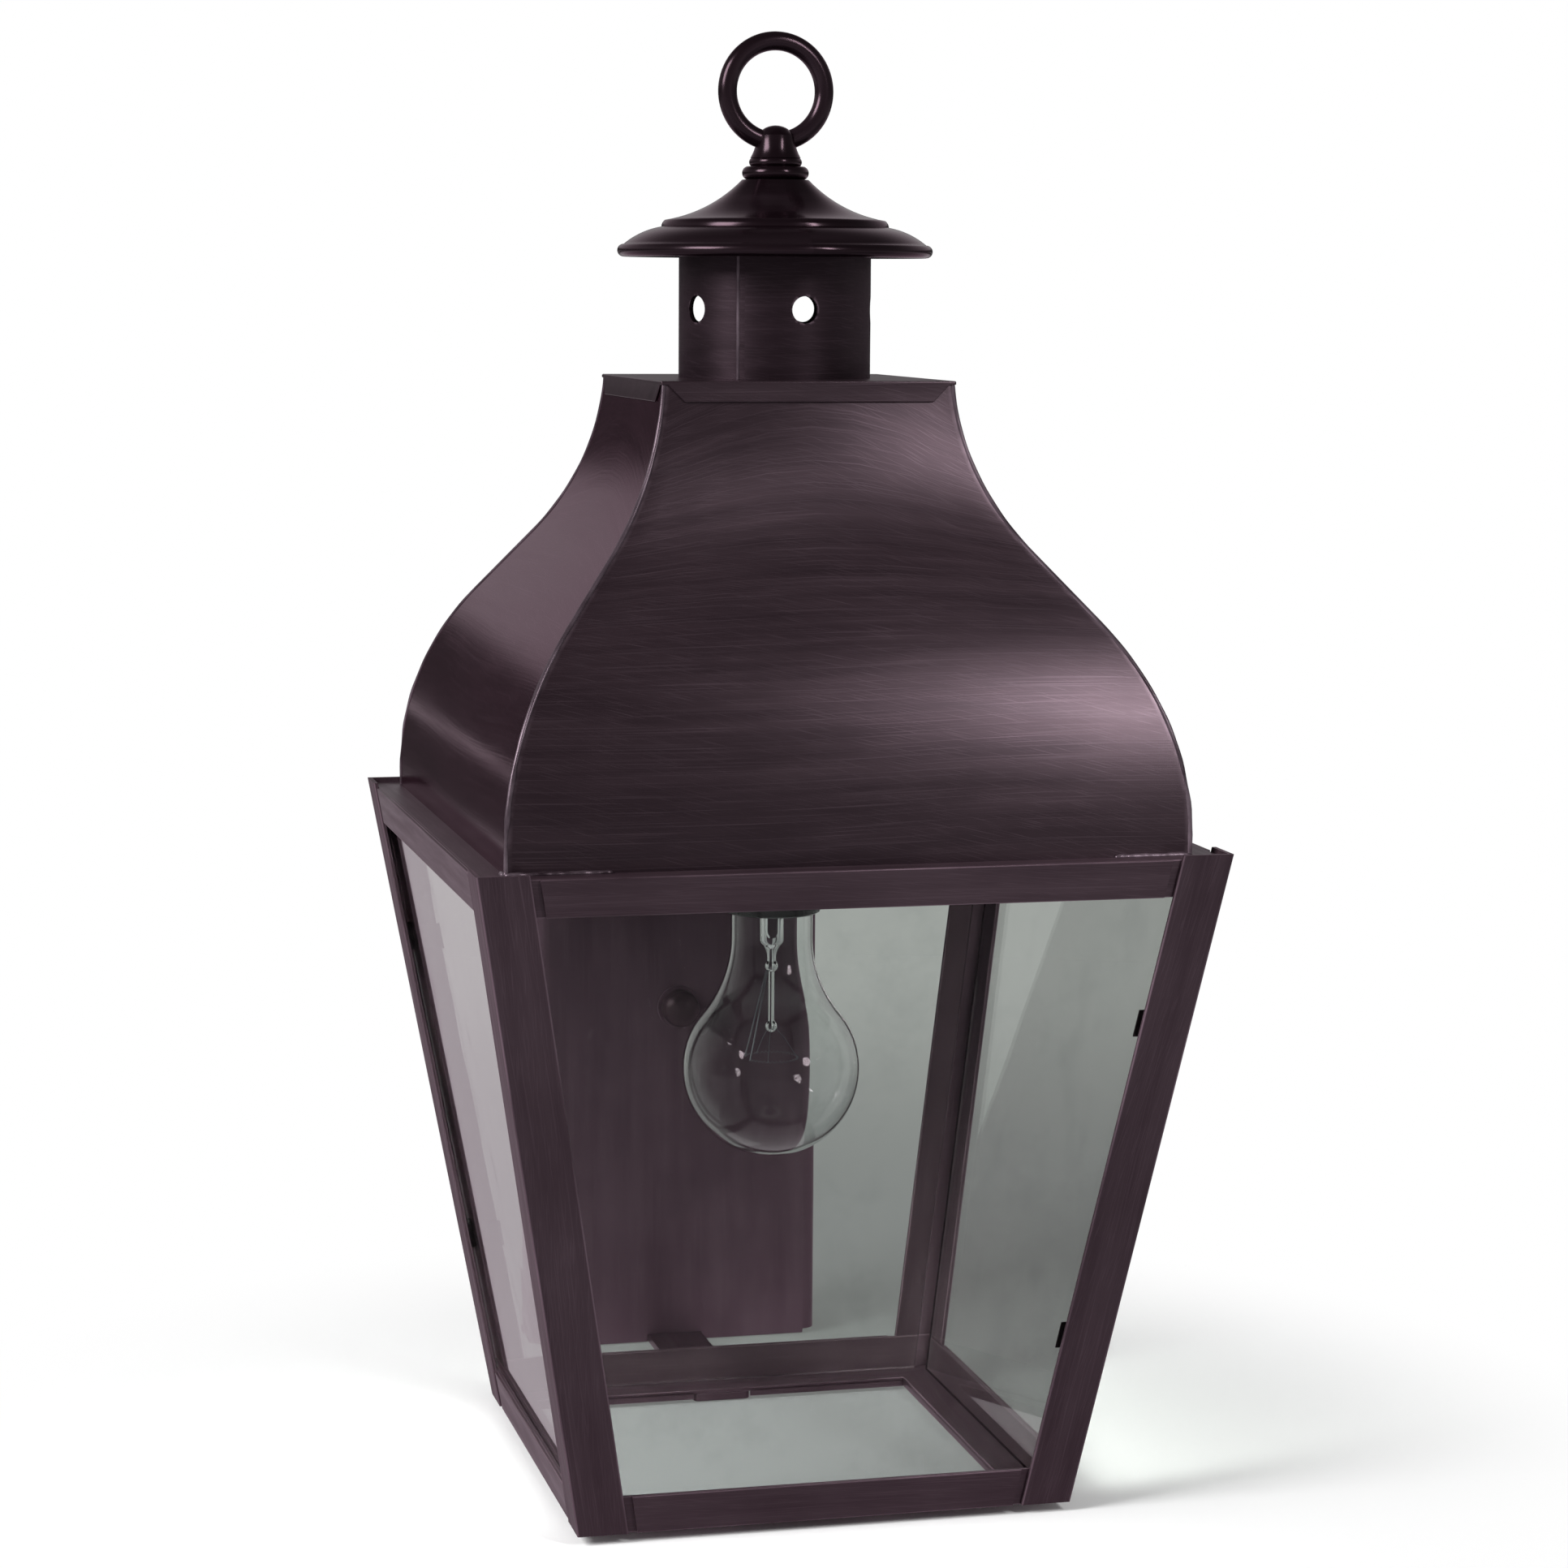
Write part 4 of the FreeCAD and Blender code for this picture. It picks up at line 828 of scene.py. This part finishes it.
clear_glass = drawn_glass("blown_bulb_glass", "#fbfcfc", wave=0.03, mirror="#b8a6b0")
spigot = [(13.8, 189.0), (12.45, 189.0), (12.45, 194.3), (11.65, 194.3), (11.65, 188.2), (13.0, 188.2)]
bulb_profile = closed_profile(blown_outline(0.0), spigot, blown_outline(bulb_wall)[::-1])
piece("bulb_envelope", [round_patch(turned(bulb_profile))], clear_glass, "bulb_glass", "bulb", "bulb_glass")
flare_out = bow((11.6, 191.8), (4.0, 184.8), -2.9)
pinch = bow((3.7, 175.2), (1.5, 170.6), -0.5, 8)
bead = arc((0, 167.3), 2.2, 50, -62, 12)
button = arc((0, 146.5), 2.0, 58, -90, 12)
flare_in = bow((3.3, 185.1), (10.9, 191.8), 2.9)
stem_profile = closed_profile((10.9, 191.8), flare_out, (4.0, 176.2), pinch, (1.5, 169.2), bead,
                              (1.0, 164.9), (1.0, 148.6), button,
                              (0, 176.4), (2.4, 176.9), (3.3, 178.6), flare_in)
piece("stem_glass", [round_patch(turned(stem_profile, count=40))],
      clear_glass, "bulb_glass", "bulb", "bulb_stem")
cap_metal = plain_metal("anodised_aluminium_cap", "#b9b9b8", "#d2d2d0")
screw_points = rolled_thread(radius=13.0, sheet=0.45, start=screw_foot, end=screw_top,
                             pitch=lamp_pitch, depth=0.45)
tip_profile = closed_profile((12.75, screw_top), (12.6, 208.6), (11.6, 209.6), (5.4, 211.6), (5.0, 212.3),
                             (3.0, 212.5), (0, 212.5), (0, 209.3), (11.0, 207.8), (12.3, screw_top))
piece("screw_cap", [round_patch(screw_points), round_patch(turned(tip_profile, count=48))],
      cap_metal, "aluminium_cap", "bulb", "bulb_cap")

tungsten = plain_metal("drawn_tungsten_wire", "#5a5b60", "#7d7e83")
coil_turn = np.radians(np.linspace(205, 515, 1600))
coil_reach = filament_radius + coil_radius * np.cos(coil_turn * coils_a_turn)
filament = np.stack([coil_reach * np.cos(coil_turn), coil_reach * np.sin(coil_turn),
                     filament_level + coil_radius * np.sin(coil_turn * coils_a_turn)], -1)
wires = [wire(filament, 0.07, 6)]
lead = [(1.2, 167.6), (3.1, 160), (6.2, 147), (9, 135.7)]
support = [(1, 146.5), (5, 142), (9, 135.7)]
for profile, turns, thickness in ((lead, lead_turns, 0.25), (support, support_turns, 0.12)):
    wires += [wire(spoke(profile, turn), thickness, 8) for turn in turns]
piece("filament", [patch(each) for each in wires],
      tungsten, "tungsten_wire", "bulb", "bulb_filament")


# Wall plate
# A shallow pan of 1.2 mm sheet with rounded long edges, its ends folded back and cut at the corners. It
# covers the outlet box and is clamped by one cap nut; a flat strap under the body is let into its lower edge.

nut_level = 126.0
wall_depth = 168.0
nut_radius, nut_front, nut_back = 6.8, 141.4, 147.0
nipple_end = 140.6
nut_floor = 140.5

# The plate's bronze is painted lighter than the frame's, to make up for the shade it stands in behind the
# panes and under the roof: painted light.
plate_bronze_painted_lighter = bronzed_brass("bronzed_brass_wall_plate_painted_lighter", "#54404b", "#624e59", "#7a6872",
                             satin=(0.36, 0.5), stroke=(0.06, 0.0008), sway=0.004, cross=6)
eased_copy("backplate", 0.0003, along_z, plate_bronze_painted_lighter, "bronzed_brass")
eased_copy("lower_strap", 0.0003, along_y, frame_bronze, "bronzed_brass")
eased_copy("crossbar", 0.0004, along_z, zinc, "zinc_plated_steel")
eased_copy("nipple_washer", 0.0002, along_x, plate_bronze_painted_lighter, "bronzed_brass")


def laid_back(points, level):
    """Points of a piece drawn on an upright axis, laid along Y: height becomes depth towards the wall."""
    return np.stack([points[..., 0], points[..., 2], level - points[..., 1]], -1)


nipple_points = threaded(rod_radius, rod_bore, nipple_end, wall_depth, rod_pitch, rod_thread)
piece("nipple", [round_patch(laid_back(nipple_points, nut_level))],
      zinc, "zinc_plated_steel", "lantern", "centre_nipple")
nut_dome = arc((0, 0), nut_radius, 0, 90, 12)[1:] * (1, -0.5) + (0, nut_front)
nut_profile = closed_profile((rod_hole, nut_back), (6.5, nut_back), (nut_radius, 146.7),
                             (nut_radius, nut_front), nut_dome, (0, nut_floor), (rod_hole, nut_floor))
piece("acorn_nut", [round_patch(laid_back(turned(nut_profile, count=64), nut_level))],
      frame_bronze, "bronzed_brass", "wall_nut", "cap_nut")
green_enamel = glossy_skin("green_screw_enamel", "#1f7a35", "#17652b")
eased_copy("ground_screw", 0.0003, along_z, green_enamel, "green_screw_paint")


# Arm
# A hollow threaded arm carries the roof off the wall plate, held by a nut on each side of both sheets, with
# a moulded bushing in each end for the wires.

arm_level = 228.0
arm_low, arm_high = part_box("upper_arm")
arm_points = threaded(radius=6.6, bore=4.8, start=wall_depth + arm_low[1] * mm_per_m,
                      end=wall_depth + arm_high[1] * mm_per_m, pitch=1.41, depth=0.5)
piece("threaded_arm", [round_patch(laid_back(arm_points, arm_level))],
      frame_bronze, "bronzed_brass", "lantern", "upper_arm")
eased_copy("arm_nuts", 0.0005, along_x, frame_bronze, "bronzed_brass")
black_nylon = glossy_skin("moulded_black_nylon", "#1a1a1b", "#242425")
eased_copy("wire_bushings", 0.0002, along_y, black_nylon, "black_plastic")


# Studio
# A pale paper floor that fades to white and keeps the shadow, in a room that is white to the camera and grey
# through the glass, with four small windows that only the glass shows. A broad soft box stands far to the
# left and a narrow one to the right, both above the roof.

smooth = "SMOOTHSTEP"
axis_depth = lantern_foot[1] / mm_per_m
floor_level = cad_low[2] - 0.0005
floor_radius = 1.4
ring_count, ray_count = 24, 96
windows = ((-0.80, -0.12, 0.59), (-0.72, -0.55, 0.43), (0.58, -0.53, 0.61), (0.56, -0.79, 0.25))
window_span = (0.9955, 0.997)
window_light = 20.0
lamp_aim = np.array([0.0, axis_depth, 0.15])

reach = np.linspace(0, floor_radius, ring_count)[:, None]
angle = np.linspace(0, 2 * math.pi, ray_count, endpoint=False)
floor_points = np.stack(np.broadcast_arrays(reach * np.sin(angle), reach * np.cos(angle) + axis_depth,
                                            floor_level), -1)
i, j = np.meshgrid(np.arange(ring_count - 1) * ray_count, np.arange(ray_count), indexing="ij")
k = (j + 1) % ray_count
floor_faces = np.stack([i + j, i + ray_count + j, i + ray_count + k, i + k], -1)
floor_mesh = bpy.data.meshes.new("floor")
floor_mesh.from_pydata(floor_points.reshape(-1, 3), [], floor_faces.reshape(-1, 4).tolist())
floor = new_object("floor", floor_mesh)

# The paper takes the shadow near the lantern. Further out it glows: white to the camera, grey through the
# glass and lilac where metal or glass mirrors it.
pale, tree, paper = new_finish("pale_floor_paper")
place = add_node(tree, "ShaderNodeTexCoord").outputs["Object"]
ray = add_node(tree, "ShaderNodeLightPath")
seen = ray.outputs["Is Camera Ray"]
through = ray.outputs["Is Transmission Ray"]
mirrored = reckon(tree, "SUBTRACT", ray.outputs["Is Glossy Ray"], through, clamp=True)
away = add_node(tree, "ShaderNodeVectorMath", {0: place, 1: (0.0, axis_depth, floor_level)},
                operation="DISTANCE")
depth = add_node(tree, "ShaderNodeSeparateXYZ", {"Vector": place})
behind = ramp(tree, depth.outputs["Y"], (-0.45, -0.15), easing=smooth)
white_share = reckon(tree, "MULTIPLY", ramp(tree, away, (0.08, 0.32), easing=smooth), seen)
grey_share = reckon(tree, "MULTIPLY", ramp(tree, away, (0.3, 1.0), (0.4, 1.0), smooth), through)
grey_share = reckon(tree, "MULTIPLY", grey_share, behind)
lilac_share = reckon(tree, "MULTIPLY", behind, mirrored)
fade = reckon(tree, "MAXIMUM", reckon(tree, "MAXIMUM", white_share, grey_share), lilac_share)
glow = blend(tree, through, blend(tree, seen, srgb("#c9bcc4"), srgb("#ffffff")), srgb("#aeb0ae"))
glow = add_node(tree, "ShaderNodeEmission", {"Color": glow, "Strength": 1.0})
tint = blend(tree, through, blend(tree, seen, srgb("#acaeb0"), srgb("#ffffff")), srgb("#7c7e80"))
feed(tree, paper, {"Base Color": tint, "Roughness": 0.9})
both = add_node(tree, "ShaderNodeMixShader", {0: fade, 1: paper, 2: glow})
feed(tree, tree.nodes["Material Output"], {"Surface": both})
floor_mesh.materials.append(pale)

# The room's light by direction. In front it is brighter low down and dims overhead. Behind, a dark strip
# with the pale edge of a table lies between a grey wall and a bright ground.
world = bpy.data.worlds.new("studio")
bpy.context.scene.world = world
world.use_nodes = True
tree = world.node_tree
tree.nodes.clear()
way = add_node(tree, "ShaderNodeTexCoord").outputs["Generated"]
look = add_node(tree, "ShaderNodeSeparateXYZ", {"Vector": way})
inward, climb = look.outputs["Y"], look.outputs["Z"]
ray = add_node(tree, "ShaderNodeLightPath")
front = reckon(tree, "MULTIPLY", ramp(tree, climb, (-0.16, 0.02), (0.75, 0.31), smooth),
               ramp(tree, climb, (0.1, 0.9), (1.0, 0.35), smooth))
wall = reckon(tree, "MULTIPLY", ramp(tree, climb, (0.085, 0.125), (0.0, 0.45), smooth),
              ramp(tree, climb, (0.3, 0.7), (1.0, 0.1), smooth))
ground = ramp(tree, climb, (-0.12, -0.16), (0.06, 0.7), smooth)
table = add_node(tree, "ShaderNodeMath", {0: climb, 1: -0.035, 2: 0.009}, operation="COMPARE")
table = reckon(tree, "MULTIPLY", table, 0.4)
back = reckon(tree, "ADD", reckon(tree, "ADD", wall, ground), table)
in_glass = ramp(tree, inward, (-0.1, 0.3), (0.14, 0.46), smooth)
for window in windows:
    near_window = add_node(tree, "ShaderNodeVectorMath", {0: way, 1: window}, operation="DOT_PRODUCT")
    in_glass = reckon(tree, "MAXIMUM", in_glass, ramp(tree, near_window, window_span, (0.0, window_light)))
level = front
for share, other in ((ramp(tree, inward, (-0.1, 0.6), easing=smooth), back),
                     (ray.outputs["Is Transmission Ray"], in_glass),
                     (ray.outputs["Is Camera Ray"], 1.0)):
    level = add_node(tree, "ShaderNodeMix", {0: share, 2: level, 3: other}, data_type="FLOAT")
room = add_node(tree, "ShaderNodeBackground", {"Color": srgb("#ffffff"), "Strength": level})
add_node(tree, "ShaderNodeOutputWorld", {"Surface": room})


def aimed(place, aim, roll=0.0):
    """The matrix of a lamp or camera at a place that faces an aim: its Z points back from the aim, and its X
    is level but for the roll about that line."""
    back = place - aim
    back = back / np.linalg.norm(back)
    level = np.cross([0.0, 0.0, 1.0], back)
    level /= np.linalg.norm(level)
    upward = np.cross(back, level)
    turn = np.eye(4)
    turn[:3, 0] = level * math.cos(roll) + upward * math.sin(roll)
    turn[:3, 1] = upward * math.cos(roll) - level * math.sin(roll)
    turn[:3, 2] = back
    turn[:3, 3] = place
    return Matrix(turn.tolist())


def soft_lamp(name, azimuth, elevation, distance, width, height, power):
    """A soft box seen from the lantern at an azimuth from the front towards the right and an elevation."""
    a, e = math.radians(azimuth), math.radians(elevation)
    lamp = bpy.data.lights.new(name, "AREA")
    lamp.shape = "RECTANGLE"
    lamp.size = width
    lamp.size_y = height
    lamp.energy = power
    box = new_object(name, lamp)
    back = np.array([math.sin(a) * math.cos(e), -math.cos(a) * math.cos(e), math.sin(e)])
    box.matrix_world = aimed(lamp_aim + distance * back, lamp_aim)
    box.visible_transmission = False


soft_lamp("left_soft_box", azimuth=-70, elevation=30, distance=1.7, width=0.7, height=0.8, power=38)
soft_lamp("right_soft_box", azimuth=27, elevation=32, distance=1.3, width=0.12, height=0.5, power=7)


# Camera
# A long lens a little to the left of the lantern and above its middle, as the photograph was taken, and
# turned by a third of a degree.

camera_at = np.array([-0.3032, -1.4102, 0.2690])
camera_aim = np.array([0.0042, -0.168, 0.1028])
camera = bpy.data.cameras.new("camera")
camera.lens = 88.2
camera.sensor_width = 36.0
camera.clip_end = 20.0
eye = new_object("camera", camera)
eye.matrix_world = aimed(camera_at, camera_aim, roll=math.radians(0.36))
bpy.context.scene.camera = eye
bpy.context.scene.view_settings.view_transform = "Standard"
